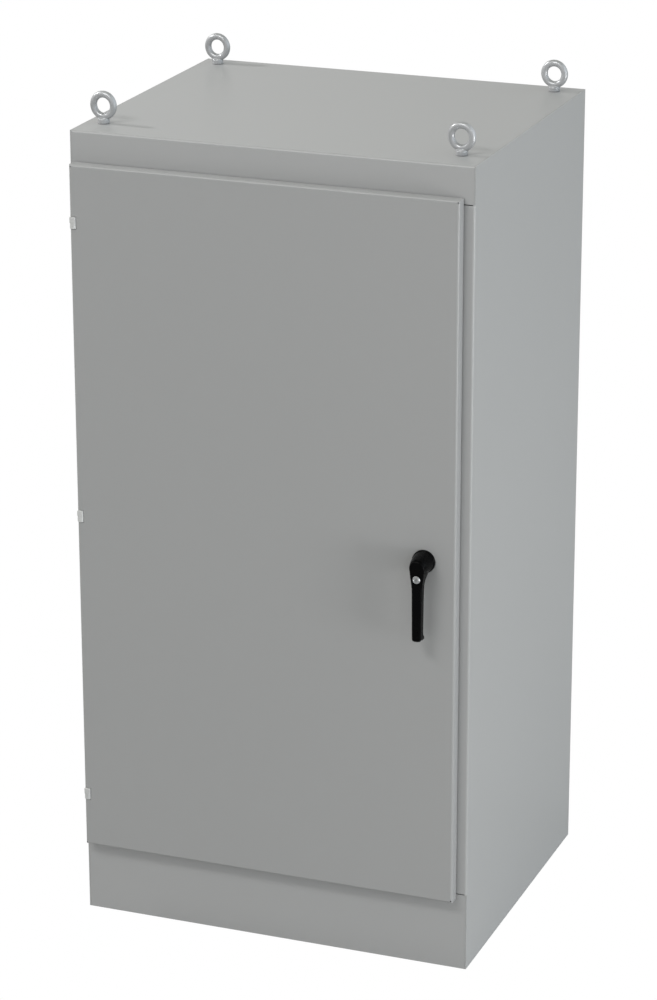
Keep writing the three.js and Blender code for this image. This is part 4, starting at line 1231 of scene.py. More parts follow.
@dataclass
class Hinge:
    """Lift-off hinge: two halves of a knuckle on one pin, a plate on the frame and one in the door."""

    place: str
    radius: float = 7.0 * MM
    leaf: float = 3.0 * MM
    pin: float = 3.0 * MM
    joint: float = 0.3 * MM
    door_corner: float = 2.4 * MM
    frame_corner: float = 5.2 * MM
    arm_gap: float = 2.0 * MM
    door_sheet: float = 2.7 * MM
    screw: float = 3.4 * MM
    screw_end: float = 8.0 * MM
    screw_side: float = 9.0 * MM
    screw_clear: float = 13.0 * MM

    def axis(self) -> Vector:
        """The middle of the knuckle's bottom face."""
        frame_low, _ = low_high(f"hinge_frame_leaf_{self.place}")
        door_low, _ = low_high(f"hinge_door_leaf_{self.place}")
        return Vector((door_low.x + self.radius, door_low.y + self.radius, frame_low.z))

    def knuckle(self, piece: Piece, low: float, high: float, corner: float) -> None:
        """Adds half a knuckle: a square bar with rounded corners and one eased end.

        Args:
            piece: What it is added to.
            low: Its bottom.
            high: Its top.
            corner: Rounding of its four corners.
        """
        centre = self.axis()
        outline = []
        for turn in range(4):
            start = math.pi / 2 * turn
            spoke = Vector((math.cos(start + math.pi / 4), math.sin(start + math.pi / 4)))
            spoke *= (self.radius - corner) * math.sqrt(2)
            for step in range(7):
                angle = start + math.pi / 12 * step
                outline.append((centre.x + spoke.x + math.cos(angle) * corner,
                                centre.y + spoke.y + math.sin(angle) * corner))
        piece.prism(outline, Axis.Z, (low, high), 0.0)
        end = high if high - centre.z > 2 * self.radius else low
        rim = [edge for edge in piece.mesh.edges
               if all(abs(vert.co.z - end) < 1e-6 for vert in edge.verts)]
        bevel_edges(piece.mesh, rim, 0.9 * MM, 3)

    def build(self) -> None:
        """Builds both halves."""
        frame_node, door_node = (f"hinge_{half}_leaf_{self.place}" for half in ("frame", "door"))
        low, high = low_high(frame_node)
        door_low, door_high = low_high(door_node)
        centre = self.axis()
        top = high.z
        split = (centre.z + top) / 2
        shaft = top - self.leaf - centre.z
        lower = Piece(f"hinge_frame_half_{self.place}", HINGE_STEEL, "cabinet", (frame_node,))
        self.knuckle(lower, centre.z, split - self.joint / 2, self.frame_corner)
        lower.turned([(self.pin, 0), (self.pin, shaft - 1 * MM), (self.pin - 1 * MM, shaft)],
                     centre, Axis.Z, 24)
        plate_front = high.y - self.leaf
        lower.block((centre.x - self.leaf / 2, centre.y, centre.z),
                    (centre.x + self.leaf / 2, plate_front + self.leaf / 2, split - self.joint / 2), 0.2 * MM)
        lower.block((low.x, plate_front, centre.z), (high.x, high.y, top), 0.3 * MM)
        lower.publish()
        upper = Piece(f"hinge_door_half_{self.place}", HINGE_STEEL, "door", (door_node,))
        self.knuckle(upper, split + self.joint / 2, top, self.door_corner)
        back = low_high("door_panel")[0].y + self.door_sheet + self.joint
        upper.block((centre.x + self.pin, back, split + self.joint / 2),
                    (door_high.x, back + self.leaf, top), 0.2 * MM)
        upper.block((centre.x + self.radius + self.arm_gap, back, door_low.z),
                    (door_high.x, back + self.leaf, door_high.z), 0.3 * MM)
        for z in (door_low.z + self.screw_end, door_high.z - self.screw_end):
            if abs(z - split) > self.screw_clear:
                seat = (door_high.x - self.screw_side, back + self.leaf, z)
                upper.pan_screw(seat, Axis.Y, self.screw)
        upper.publish()


# ---------------------------------------------------------------- door

def carve(mesh: bmesh.types.BMesh, cutter: bmesh.types.BMesh) -> bmesh.types.BMesh:
    """Cuts one closed mesh out of another.

    Args:
        mesh: What is cut.
        cutter: What is taken away.

    Returns:
        What is left.
    """
    objects = []
    for name, shape in (("carved", mesh), ("cutter", cutter)):
        data = bpy.data.meshes.new(name)
        shape.to_mesh(data)
        shape.free()
        made = bpy.data.objects.new(name, data)
        bpy.context.scene.collection.objects.link(made)
        objects.append(made)
    carved, tool = objects
    step = carved.modifiers.new("cut", "BOOLEAN")
    step.operation, step.solver, step.object = "DIFFERENCE", "EXACT", tool
    result = bmesh.new()
    result.from_object(carved, bpy.context.evaluated_depsgraph_get())
    for made in objects:
        data = made.data
        bpy.data.objects.remove(made)
        bpy.data.meshes.remove(data)
    return result


@dataclass
class DoorPan:
    """The door: one sheet folded back on all four sides, with its stiffeners, gasket and pocket."""

    sheet: float = 2.7 * MM
    bend: float = 5.0 * MM
    steps: int = 10
    notch_clearance: float = 1.0 * MM
    knuckle_height: float = 26.0 * MM
    knuckle_width: float = 14.0 * MM
    relief: float = 1.7 * MM
    relief_side: float = 3.4 * MM
    relief_end: float = 4.4 * MM
    relief_deep: float = 12.0 * MM
    spindle_hole: float = 6.6 * MM
    hat_half: float = 25.0 * MM
    hat_deep: float = 18.0 * MM
    hat_bend: float = 3.7 * MM
    weld_spots: int = 9
    weld_side: float = 6.0 * MM
    gasket_width: float = 17.0 * MM
    pocket_ribs: int = 7

    def ring(self, mesh: bmesh.types.BMesh, inset: float, y: float) -> list[bmesh.types.BMVert]:
        """Adds the four corners of the pan's outline at one depth.

        Args:
            mesh: The mesh.
            inset: How far inside the outline.
            y: The depth.

        Returns:
            The corners.
        """
        low, high = low_high("door_panel")
        return [mesh.verts.new(place) for place in (
            (low.x + inset, y, low.z + inset), (high.x - inset, y, low.z + inset),
            (high.x - inset, y, high.z - inset), (low.x + inset, y, high.z - inset),
        )]

    def pan(self) -> bmesh.types.BMesh:
        """Makes the folded sheet without its holes.

        Returns:
            The mesh.
        """
        low, high = low_high("door_panel")
        mesh = bmesh.new()
        rings = []
        for inset, radius in ((0.0, self.bend), (self.sheet, self.bend - self.sheet)):
            rings.append([self.ring(mesh, inset, high.y)])
            for step in range(self.steps + 1):
                turn = math.pi / 2 * step / self.steps
                rings[-1].append(self.ring(
                    mesh,
                    inset + radius * (1 - math.cos(turn)),
                    low.y + inset + radius * (1 - math.sin(turn)),
                ))
        for side in rings:
            for first, second in zip(side, side[1:]):
                self.band(mesh, first, second)
            mesh.faces.new(side[-1])
        self.band(mesh, rings[0][0], rings[1][0])
        bmesh.ops.recalc_face_normals(mesh, faces=mesh.faces[:])
        return mesh

    def band(self, mesh: bmesh.types.BMesh, first: list, second: list) -> None:
        """Joins two rings of four corners."""
        for i in range(4):
            mesh.faces.new((first[i], first[(i + 1) % 4], second[(i + 1) % 4], second[i]))

    def build(self) -> None:
        """Builds the door and what is fixed to its back."""
        low, high = low_high("door_panel")
        tools = Piece("tools", DOOR_PAINT_WITH_PAINTED_SHADE, "door")
        for place in ("bottom", "middle", "top"):
            leaf = low_high(f"hinge_frame_leaf_{place}")
            left = low_high(f"hinge_door_leaf_{place}")[0].x
            right = left + self.knuckle_width + self.notch_clearance
            tools.block((low.x - self.bend, low.y - self.bend, leaf[0].z - self.notch_clearance),
                        (right, high.y + self.bend, leaf[0].z + self.knuckle_height + self.notch_clearance))
        centre_z = middle("door_panel").z
        for x, z in ((high.x, high.z), (high.x, low.z), (low.x, high.z), (low.x, low.z)):
            inward_x = math.copysign(self.relief_side, -x)
            inward_z = math.copysign(self.relief_end, centre_z - z)
            tools.turned([(self.relief, 0), (self.relief, self.relief_deep)],
                         (x + inward_x, low.y - 2 * MM, z + inward_z), Axis.Y, 20)
        hub = handle_hub()
        tools.turned([(self.spindle_hole, 0), (self.spindle_hole, 20 * MM)],
                     (hub.x, low.y - 5 * MM, hub.z), Axis.Y, 32)
        # The pan wears the darker copy of the cabinet paint: painted shade on the door.
        piece = Piece("door_pan", DOOR_PAINT_WITH_PAINTED_SHADE, "door", ("door_panel",))
        piece.mesh = carve(self.pan(), tools.mesh)
        piece.publish()
        self.stiffeners()
        self.gasket()
        self.pocket()

    def stiffeners(self) -> None:
        """Builds the hat channels with the spots where they are welded on."""
        for hand in ("left", "right"):
            node = f"door_stiffener_{hand}"
            low, high = low_high(node)
            x, half = (low.x + high.x) / 2, self.hat_half
            back, deep = low.y, low.y + self.hat_deep
            piece = Piece(f"stiffener_{hand}", DOOR_PAINT_WITH_PAINTED_SHADE, "door", (node,))
            line = [(high.x, back + self.sheet), (x + half, back + self.sheet), (x + half, deep),
                    (x - half, deep), (x - half, back + self.sheet), (low.x, back + self.sheet)]
            piece.prism(folded_section(line, self.sheet, self.hat_bend), Axis.Z, (low.z, high.z))
            weld = [(3.6 * MM, 0), (3.2 * MM, 0.35 * MM), (2.0 * MM, 0.1 * MM), (0, 0.05 * MM)]
            for number in range(self.weld_spots):
                z = low.z + (high.z - low.z) * (number + 0.5) / self.weld_spots
                for weld_x in (low.x + self.weld_side, high.x - self.weld_side):
                    piece.turned(weld, (weld_x, back + self.sheet, z), Axis.Y, 20)
            piece.publish()

    def gasket(self) -> None:
        """Builds the foamed strip round the door's back, crowned where it presses on the collar."""
        low, high = low_high("door_gasket")
        width, depth = self.gasket_width, high.y - low.y
        piece = Piece("gasket_ring", GASKET, "door", ("door_gasket",))
        crown = [(0.0, 0.0), (0.0, 0.55), (0.06, 0.8), (0.18, 0.94), (0.34, 1.0),
                 (0.66, 1.0), (0.82, 0.94), (0.94, 0.8), (1.0, 0.55), (1.0, 0.0)]
        mesh = piece.mesh
        rings = []
        for across, rise in crown:
            inset, y = across * width, low.y + rise * depth
            rings.append([mesh.verts.new(place) for place in (
                (low.x + inset, y, low.z + inset), (high.x - inset, y, low.z + inset),
                (high.x - inset, y, high.z - inset), (low.x + inset, y, high.z - inset),
            )])
        for first, second in zip(rings, rings[1:] + rings[:1]):
            self.band(mesh, first, second)
        bmesh.ops.recalc_face_normals(mesh, faces=mesh.faces[:])
        piece.publish()

    def pocket(self) -> None:
        """Dresses the print pocket and adds its ribs."""
        dress_node("print_pocket", BLACK_MOULDING, 0.8 * MM, 3)
        low, high = low_high("print_pocket")
        ribs = Piece("pocket_ribs", BLACK_MOULDING, "door")
        for number in range(self.pocket_ribs):
            x = low.x + (high.x - low.x) * (number + 1) / (self.pocket_ribs + 1)
            ribs.block((x - 1.2 * MM, high.y - 0.4 * MM, low.z + 14 * MM),
                       (x + 1.2 * MM, high.y, high.z - 60 * MM), 0.15 * MM, 1)
        ribs.publish()


# ---------------------------------------------------------------- handle and latch

def handle_hub() -> Vector:
    """The point on the spindle's axis at the lever's front."""
    low, _ = low_high("handle_lever")
    disc = middle("handle_escutcheon")
    return Vector((disc.x, low.y, disc.z))


@dataclass
class LeverHandle:
    """Black lever with a round head on a domed base, a slim grip and a bent foot, and its key plug."""

    head: float = 17.6 * MM
    head_drop: float = 2.0 * MM
    neck_half: float = 11.4 * MM
    tip_half: float = 10.2 * MM
    neck_drop: float = 52.0 * MM
    length: float = 169.0 * MM
    tip_round: float = 6.0 * MM
    thick: float = 19.0 * MM
    rounding: float = 4.2 * MM
    dome_top: float = 21.0 * MM
    dome_base: float = 24.0 * MM
    spindle: float = 6.0 * MM
    foot_reach: float = 9.0 * MM
    foot_high: float = 12.0 * MM
    key: float = 8.5 * MM
    key_drop: float = 26.0 * MM
    web_start: float = 12.0 * MM
    web_end: float = 46.0 * MM
    web_half: float = 17.0 * MM
    stations: int = 72

    def half_width(self, drop: float) -> float:
        """Half the lever's width at a distance below the hub's axis.

        Args:
            drop: The distance, negative above the axis.

        Returns:
            The half width.
        """
        shoulder = self.head_drop + self.head * math.sin(math.pi / 9)
        if drop < shoulder:
            return math.sqrt(max(self.head ** 2 - (drop - self.head_drop) ** 2, 0.0))
        straight = self.neck_half + (self.tip_half - self.neck_half) * max(
            0.0, (drop - self.neck_drop) / (self.length - self.neck_drop))
        if drop < self.neck_drop:
            share = (drop - shoulder) / (self.neck_drop - shoulder)
            start = self.head * math.cos(math.pi / 9)
            ease = share * share * (3 - 2 * share)
            return start + (self.neck_half - start) * (0.5 * share + 0.5 * ease)
        past = drop - (self.length - self.tip_round)
        if past > 0:
            return straight - self.tip_round + math.sqrt(max(self.tip_round ** 2 - past ** 2, 0.0))
        return straight

    def section(self, half: float, front: float, back: float) -> list[tuple[float, float]]:
        """One slice through the lever, well rounded in front.

        Args:
            half: Half its width.
            front: Depth of its front.
            back: Depth of its back.

        Returns:
            Its outline as (sideways, depth).
        """
        soft = min(self.rounding, half * 0.95)
        hard = min(1.4 * MM, half * 0.5)
        points = []
        for centre_x, centre_y, radius, start in (
            (half - soft, front + soft, soft, -90), (half - hard, back - hard, hard, 0),
            (-half + hard, back - hard, hard, 90), (-half + soft, front + soft, soft, 180),
        ):
            for step in range(7):
                turn = math.radians(start + 15 * step)
                points.append((centre_x + radius * math.cos(turn), centre_y + radius * math.sin(turn)))
        return points

    def bar(self, piece: Piece) -> None:
        """Adds the head and grip as one lofted form.

        Args:
            piece: What it is added to.
        """
        hub = handle_hub()
        front, back = hub.y, hub.y + self.thick
        top = self.head - self.head_drop
        total = top + self.length
        rings = []
        part = bmesh.new()
        for number in range(self.stations + 1):
            even = number / self.stations
            share = 0.5 - 0.5 * math.cos(math.pi * even)
            share = 0.35 * share + 0.65 * even
            drop = -top + total * share
            from_end = min(drop + top, self.length - drop)
            short = 1 - min(1.0, from_end / self.rounding)
            sunk = self.rounding * (1 - math.sqrt(max(0.0, 1 - short ** 2)))
            half = max(self.half_width(min(max(drop, -top + 0.05 * MM), self.length - 0.05 * MM)), 0.4 * MM)
            outline = self.section(half, front + sunk * 0.9, back - min(sunk * 0.3, 1.4 * MM))
            rings.append([part.verts.new((hub.x + x, y, hub.z - drop)) for x, y in outline])
        for first, second in zip(rings, rings[1:]):
            for i in range(len(first)):
                j = (i + 1) % len(first)
                part.faces.new((first[i], first[j], second[j], second[i]))
        part.faces.new(rings[0])
        part.faces.new(rings[-1])
        bmesh.ops.recalc_face_normals(part, faces=part.faces[:])
        bore = Piece("bore", LEVER_BLACK, "handle")
        bore.turned([(self.key + 0.35 * MM, -2 * MM), (self.key + 0.35 * MM, 10 * MM)],
                    (hub.x, front, hub.z - self.key_drop), Axis.Y, 48)
        piece.take(carve(part, bore.mesh))

    def web(self, piece: Piece, back: float, seat: float) -> None:
        """Adds the rib that runs from the domed base down into the back of the neck.

        Args:
            piece: What it is added to.
            back: Depth of the lever's back.
            seat: Depth of the base's seat.
        """
        hub = handle_hub()
        part = bmesh.new()
        rings = []
        deep = seat - back
        for step in range(13):
            share = step / 12
            drop = self.web_start + (self.web_end - self.web_start) * share
            half = self.web_half * (1 - 0.42 * share)
            reach = back + deep * (0.5 + 0.5 * math.cos(math.pi * share)) * 0.94 + 0.2 * MM
            soft = min(5 * MM, (reach - back + 2 * MM) * 0.8, half * 0.9)
            line = [(-half, back - 2 * MM), (half, back - 2 * MM)]
            for turn in range(5):
                angle = math.pi / 8 * turn
                line.append((half - soft + soft * math.cos(angle), reach - soft + soft * math.sin(angle)))
            for turn in range(5):
                angle = math.pi / 2 + math.pi / 8 * turn
                line.append((-half + soft + soft * math.cos(angle), reach - soft + soft * math.sin(angle)))
            rings.append([part.verts.new((hub.x + x, y, hub.z - drop)) for x, y in line])
        for first, second in zip(rings, rings[1:]):
            for i in range(len(first)):
                j = (i + 1) % len(first)
                part.faces.new((first[i], first[j], second[j], second[i]))
        part.faces.new(rings[0])
        part.faces.new(rings[-1])
        bmesh.ops.recalc_face_normals(part, faces=part.faces[:])
        piece.take(part)

    def build(self) -> None:
        """Builds the lever, its base, its foot, the key plug and the disc under it."""
        hub = handle_hub()
        _, high = low_high("handle_lever")
        back = hub.y + self.thick
        disc_low, disc_high = low_high("handle_escutcheon")
        lever = Piece("lever", LEVER_BLACK, "handle", ("handle_lever",))
        self.bar(lever)
        base = disc_low.y - 0.3 * MM - back
        lever.turned([
            (self.head - 0.8 * MM, -self.thick + self.rounding),
            (self.head, -self.thick + self.rounding + 1 * MM),
            (self.dome_top, 0), (self.dome_base - 1.2 * MM, base * 0.6),
            (self.dome_base, base * 0.94), (self.dome_base, base),
            (self.spindle, base), (self.spindle, high.y - back),
        ], (hub.x, back, hub.z), Axis.Y, 72)
        reach = self.foot_reach
        tip = hub.z - self.length
        toe = self.tip_half * 0.96
        lever.prism([
            (back - 3 * MM, tip + 0.3 * MM), (back + reach * 0.7, tip + 0.3 * MM),
            (back + reach, tip + 2.2 * MM), (back + reach, tip + 6.5 * MM),
            (back + reach * 0.55, tip + 9.0 * MM), (back, tip + self.foot_high + 5 * MM),
            (back - 3 * MM, tip + self.foot_high + 9 * MM),
        ], Axis.X, (hub.x - toe, hub.x + toe), 1.3 * MM, 3)
        self.web(lever, back, disc_low.y - 0.3 * MM)
        lever.publish(40)
        disc = Piece("lever_disc", LEVER_BLACK, "door", ("handle_escutcheon",))
        radius, thick = (disc_high.x - disc_low.x) / 2, disc_high.y - disc_low.y
        disc.turned([
            (self.spindle + 0.6 * MM, 0), (radius - 3.2 * MM, 0), (radius - 1.4 * MM, 0.5 * MM),
            (radius - 0.4 * MM, 1.6 * MM), (radius, 3 * MM), (radius, thick),
            (self.spindle + 0.6 * MM, thick), (self.spindle + 0.6 * MM, 0),
        ], (hub.x, disc_low.y, hub.z), Axis.Y, 96)
        disc.publish(40)
        self.key_plug()

    def key_plug(self) -> None:
        """Builds the plug with its slot and chamfered rim."""
        low, high = low_high("key_plug")
        centre = middle("key_plug")
        depth = high.y - low.y
        part = Piece("plug", KEY_CHROME, "key")
        part.turned([(0, 0), (self.key * 0.62, 0), (self.key * 0.66, 0.35 * MM), (self.key * 0.72, 0.35 * MM),
                     (self.key * 0.76, 0), (self.key - 0.6 * MM, 0), (self.key, 0.6 * MM), (self.key, depth)],
                    (centre.x, low.y, centre.z), Axis.Y, 64)
        slot = Piece("slot", KEY_CHROME, "key")
        slot.block((centre.x - 1 * MM, low.y - 1 * MM, centre.z - 4.2 * MM),
                   (centre.x + 1 * MM, low.y + 5 * MM, centre.z + 4.2 * MM))
        piece = Piece("key_plug_core", KEY_CHROME, "key", ("key_plug",))
        piece.mesh = carve(part.mesh, slot.mesh)
        piece.publish()


@dataclass
class LatchGear:
    """Cam, rods, rollers and guides behind the door."""

    roller_bore: float = 3.05 * MM
    roller_groove: float = 0.8 * MM
    roller_edge: float = 0.7 * MM

    def build(self) -> None:
        """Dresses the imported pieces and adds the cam's screw and the rollers."""
        for node in ("latch_cam", "upper_latch_rod", "lower_latch_rod", "upper_rod_guide", "lower_rod_guide"):
            dress_node(node, ZINC, 0.5 * MM)
        hub = handle_hub()
        cap = Piece("cam_screw", ZINC, "handle")
        lever_end = low_high("handle_lever")[1].y
        cap.turned([(0, 0.2 * MM), (3.4 * MM, 0.2 * MM), (3.8 * MM, -0.2 * MM), (3.8 * MM, -1 * MM)],
                   (hub.x, lever_end - 0.4 * MM, hub.z), Axis.Y, 24)
        cap.publish()
        for hand in ("upper", "lower"):
            self.roller(hand)

    def roller(self, hand: str) -> None:
        """Builds one roller with a shallow groove in each face.

        Args:
            hand: Which rod it is on.
        """
        low, high = low_high(f"{hand}_latch_roller")
        centre = (low + high) / 2
        radius, width = (high.z - low.z) / 2, high.x - low.x
        bore, groove, edge = self.roller_bore, self.roller_groove, self.roller_edge
        roller = Piece(f"{hand}_nylon_roller", BLACK_MOULDING, f"{hand}_roller", (f"{hand}_latch_roller",))
        roller.turned([
            (bore, 0), (radius * 0.55, 0), (radius * 0.6, groove), (radius * 0.84, groove),
            (radius * 0.88, 0), (radius - edge, 0), (radius, edge), (radius, width - edge),
            (radius - edge, width), (radius * 0.88, width), (radius * 0.84, width - groove),
            (radius * 0.6, width - groove), (radius * 0.55, width), (bore, width), (bore, 0),
        ], (low.x, centre.y, centre.z), Axis.X, 48)
        roller.publish()


# ---------------------------------------------------------------- inside the cabinet

@dataclass
class CabinetBack:
    """Back sheet, floor, gland plate, lifting rails and sub-panel with what holds them."""

    stud: float = 5.0 * MM
    nut_flats: float = 16.0 * MM
    nut_height: float = 8.0 * MM
    washer: float = 11.0 * MM

    def build(self) -> None:
        """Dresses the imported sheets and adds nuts, washers and screws."""
        for node in ("back_panel", "floor_panel"):
            dress_node(node, CABINET_PAINT, 0.4 * MM)
        dress_node("sub_panel", PANEL_PAINT, 0.5 * MM)
        for node in ("gland_plate", "lifting_rail_left", "lifting_rail_right"):
            dress_node(node, ZINC, 0.5 * MM)
        self.panel_nuts()
        self.gland_screws()

    def panel_nuts(self) -> None:
        """Adds a washer and a nut on each stud in front of the sub-panel."""
        low, high = low_high("sub_panel")
        nuts = Piece("sub_panel_nuts", ZINC, "cabinet")
        inset = 30 * MM
        for x in (low.x + inset, high.x - inset):
            for z in (low.z + inset, high.z - inset):
                nuts.turned([(self.stud + 0.4 * MM, 0), (self.washer - 0.3 * MM, 0), (self.washer, 0.3 * MM),
                             (self.washer, 1.6 * MM), (self.stud + 0.4 * MM, 1.6 * MM), (self.stud + 0.4 * MM, 0)],
                            (x, low.y, z), Axis.FRONT, 32)
                nuts.hexagon((x, low.y - 1.6 * MM, z), Axis.FRONT, self.nut_flats, self.nut_height)
        nuts.publish()

    def gland_screws(self) -> None:
        """Adds the screws round the gland plate and its gasket."""
        low, high = low_high("gland_plate")
        screws = Piece("gland_plate_screws", ZINC, "cabinet")
        columns, inset = 5, 9 * MM
        for number in range(columns):
            x = low.x + inset + (high.x - low.x - 2 * inset) * number / (columns - 1)
            for y in (low.y + inset, high.y - inset):
                screws.pan_screw((x, y, high.z), Axis.Z, 4.5 * MM)
        screws.publish()


@dataclass
class SwitchBase:
    """Moulded base with three poles: arc chutes, terminals with lugs, and fixed contacts."""

    plates: int = 9
    plate: float = 1.2 * MM
    plate_half: float = 38.0 * MM
    plate_margin: float = 14.0 * MM
    lug_half: float = 22.0 * MM
    lug_depth: float = 24.0 * MM
    screw_side: float = 10.5 * MM

    def pole_centres(self) -> list[float]:
        """The middle of each pole."""
        return [middle(f"contact_blade_{letter}").x for letter in "abc"]

    def build(self) -> None:
        """Builds the base, the chutes and the three terminal blocks."""
        dress_node("switch_base", BLACK_MOULDING, 1.2 * MM, 3)
        self.base_screws()
        for source in ("normal", "emergency"):
            dress_node(f"arc_chutes_{source}", BROWN_MOULDING, 0.9 * MM, 3)
            self.chute_plates(source)
        for block in ("normal_terminals", "emergency_terminals", "load_terminals"):
            dress_node(block, COPPER, 0.8 * MM, 3)
            self.lugs(block)

    def base_screws(self) -> None:
        """Adds the four screws that hold the base."""
        low, high = low_high("switch_base")
        screws = Piece("switch_base_screws", ZINC, "cabinet")
        inset = 12 * MM
        for x in (low.x + inset, high.x - inset):
            for z in (low.z + inset, high.z - inset):
                screws.pan_screw((x, low.y, z), Axis.FRONT, 6 * MM)
        screws.publish()

    def chute_plates(self, source: str) -> None:
        """Adds the stack of steel plates that shows in the mouth of each chute.

        Args:
            source: Which bank it is.
        """
        low, high = low_high(f"arc_chutes_{source}")
        stack = Piece(f"chute_plates_{source}", IRON, "cabinet")
        half, margin = self.plate_half, self.plate_margin
        for x in self.pole_centres():
            for number in range(self.plates):
                z = low.z + margin + (high.z - low.z - 2 * margin) * number / (self.plates - 1)
                stack.block((x - half, low.y - 1.4 * MM, z - self.plate / 2),
                            (x + half, low.y + 2 * MM, z + self.plate / 2), 0.2 * MM, 1)
        stack.publish()
        rims = Piece(f"chute_frames_{source}", BROWN_MOULDING, "cabinet")
        for x in self.pole_centres():
            edge, wall = half + 4 * MM, 3 * MM
            for side in (-1, 1):
                rims.block((x + side * edge - wall / 2, low.y - 2.2 * MM, low.z + 7 * MM),
                           (x + side * edge + wall / 2, low.y + 1 * MM, high.z - 7 * MM), 0.7 * MM)
            for z in (low.z + 8.5 * MM, high.z - 8.5 * MM):
                rims.block((x - edge, low.y - 2.2 * MM, z - wall / 2),
                           (x + edge, low.y + 1 * MM, z + wall / 2), 0.7 * MM)
        rims.publish()

    def lugs(self, block: str) -> None:
        """Adds a lug with two socket screws for each pole of a terminal block.

        Args:
            block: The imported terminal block.
        """
        low, high = low_high(block)
        lugs = Piece(f"{block}_lugs", SILVERED, "cabinet")
        screws = Piece(f"{block}_screws", ZINC, "cabinet")
        height = high.z - low.z
        middle_z = (low.z + high.z) / 2
        half, depth = self.lug_half, self.lug_depth
        for x in self.pole_centres():
            lugs.block((x - half, low.y - depth, middle_z - height * 0.36),
                       (x + half, low.y + 0.5 * MM, middle_z + height * 0.36), 2.2 * MM, 3)
            for side in (-1, 1):
                seat = (x + side * self.screw_side, low.y - depth, middle_z)
                screws.turned([(0, -6 * MM), (4.2 * MM, -6 * MM), (4.2 * MM, 0.2 * MM), (5.2 * MM, 1.2 * MM),
                               (7.2 * MM, 1.2 * MM), (7.9 * MM, 0.4 * MM), (7.9 * MM, -1 * MM)],
                              seat, Axis.FRONT, 6)
        lugs.publish()
        screws.publish()


@dataclass
class TransferShaft:
    """Square shaft with its moulded pole hubs, contact blades and hand lever."""

    hub: float = 17.0 * MM
    hub_bore: float = 13.2 * MM
    hub_width: float = 20.0 * MM
    arm: float = 84.0 * MM
    arm_thick: float = 8.0 * MM
    tip_inset: float = 11.0 * MM
    tilt: float = math.pi / 9

    def build(self) -> None:
        """Dresses the shaft and builds what turns with it."""
        dress_node("contact_shaft", BLACK_MOULDING, 0.7 * MM)
        axis = middle("contact_shaft")
        for letter in "abc":
            node = f"contact_blade_{letter}"
            dress_node(node, COPPER, 0.8 * MM, 3)
            low, high = low_high(node)
            x, width = (low.x + high.x) / 2, high.x - low.x
            crank = Piece(f"pole_crank_{letter}", BLACK_MOULDING, "transfer_shaft")
            bore, half, edge = self.hub_bore, self.hub_width * 0.5, 1 * MM
            for side in (-1, 1):
                start = x + side * (width / 2 + edge) + (0 if side > 0 else -half)
                crank.turned([
                    (bore, 0), (self.hub - edge, 0), (self.hub, edge), (self.hub, half - edge),
                    (self.hub - edge, half), (bore, half), (bore, 0),
                ], (start, axis.y, axis.z), Axis.X, 40)
            crank.publish()
            tips = Piece(f"contact_tips_{letter}", SILVERED, "transfer_shaft")
            for way, face in ((Axis.Z, self.arm_thick / 2), (Axis.DOWN, -self.arm_thick / 2)):
                tips.turned([(0.28 * width, -0.3 * MM), (0.28 * width, 0.9 * MM), (0.25 * width, 1.4 * MM),
                             (0, 1.4 * MM)],
                            (x, axis.y - self.arm + self.tip_inset, axis.z + face), way, 28)
            bmesh.ops.rotate(tips.mesh, verts=tips.mesh.verts, cent=axis,
                             matrix=Matrix.Rotation(-self.tilt, 3, "X"))
            tips.publish()
        dress_node("throw_crank", ZINC, 0.8 * MM)
        dress_node("manual_operator", ZINC, 0.9 * MM, 3)
        low, high = low_high("manual_operator")
        grip = Piece("manual_grip_sleeve", RED_PLASTIC, "transfer_shaft")
        length = (axis.y - low.y) * 0.42
        grip.block((low.x, low.y, low.z + 6 * MM), (high.x, low.y + length, high.z - 6 * MM), 2.5 * MM, 3)
        grip.publish()


@dataclass
class Solenoid:
    """Laminated yoke, taped coil and plunger."""

    def build(self) -> None:
        """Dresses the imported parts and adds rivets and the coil's flanges."""
        dress_node("solenoid_yoke", IRON, 0.6 * MM)
        dress_node("solenoid_coil", COIL_TAPE, 2.0 * MM, 3)
        dress_node("solenoid_plunger", IRON, 0.7 * MM)
        low, high = low_high("solenoid_yoke")
        rivets = Piece("yoke_rivets", ZINC, "cabinet")
        for x in (low.x + 7 * MM, high.x - 7 * MM):
            for z in (low.z + 8 * MM, high.z - 8 * MM):
                rivets.turned([(0, 2 * MM), (2 * MM, 1.8 * MM), (3.4 * MM, 1.1 * MM), (3.9 * MM, 0),
                               (3.9 * MM, -1 * MM)], (x, low.y, z), Axis.FRONT, 24)
        rivets.publish()
        coil_low, coil_high = low_high("solenoid_coil")
        flanges = Piece("coil_flanges", BLACK_MOULDING, "cabinet")
        plunger = middle("solenoid_plunger")
        bore, thick = 14.0 * MM, 2.4 * MM
        half = (coil_high.x - coil_low.x) / 2
        for z in (coil_low.z, coil_high.z - thick):
            flanges.turned([(bore, 0), (half - 1 * MM, 0), (half, 0.6 * MM), (half, thick), (bore, thick),
                            (bore, 0)], (plunger.x, plunger.y, z), Axis.Z, 48)
        flanges.publish()


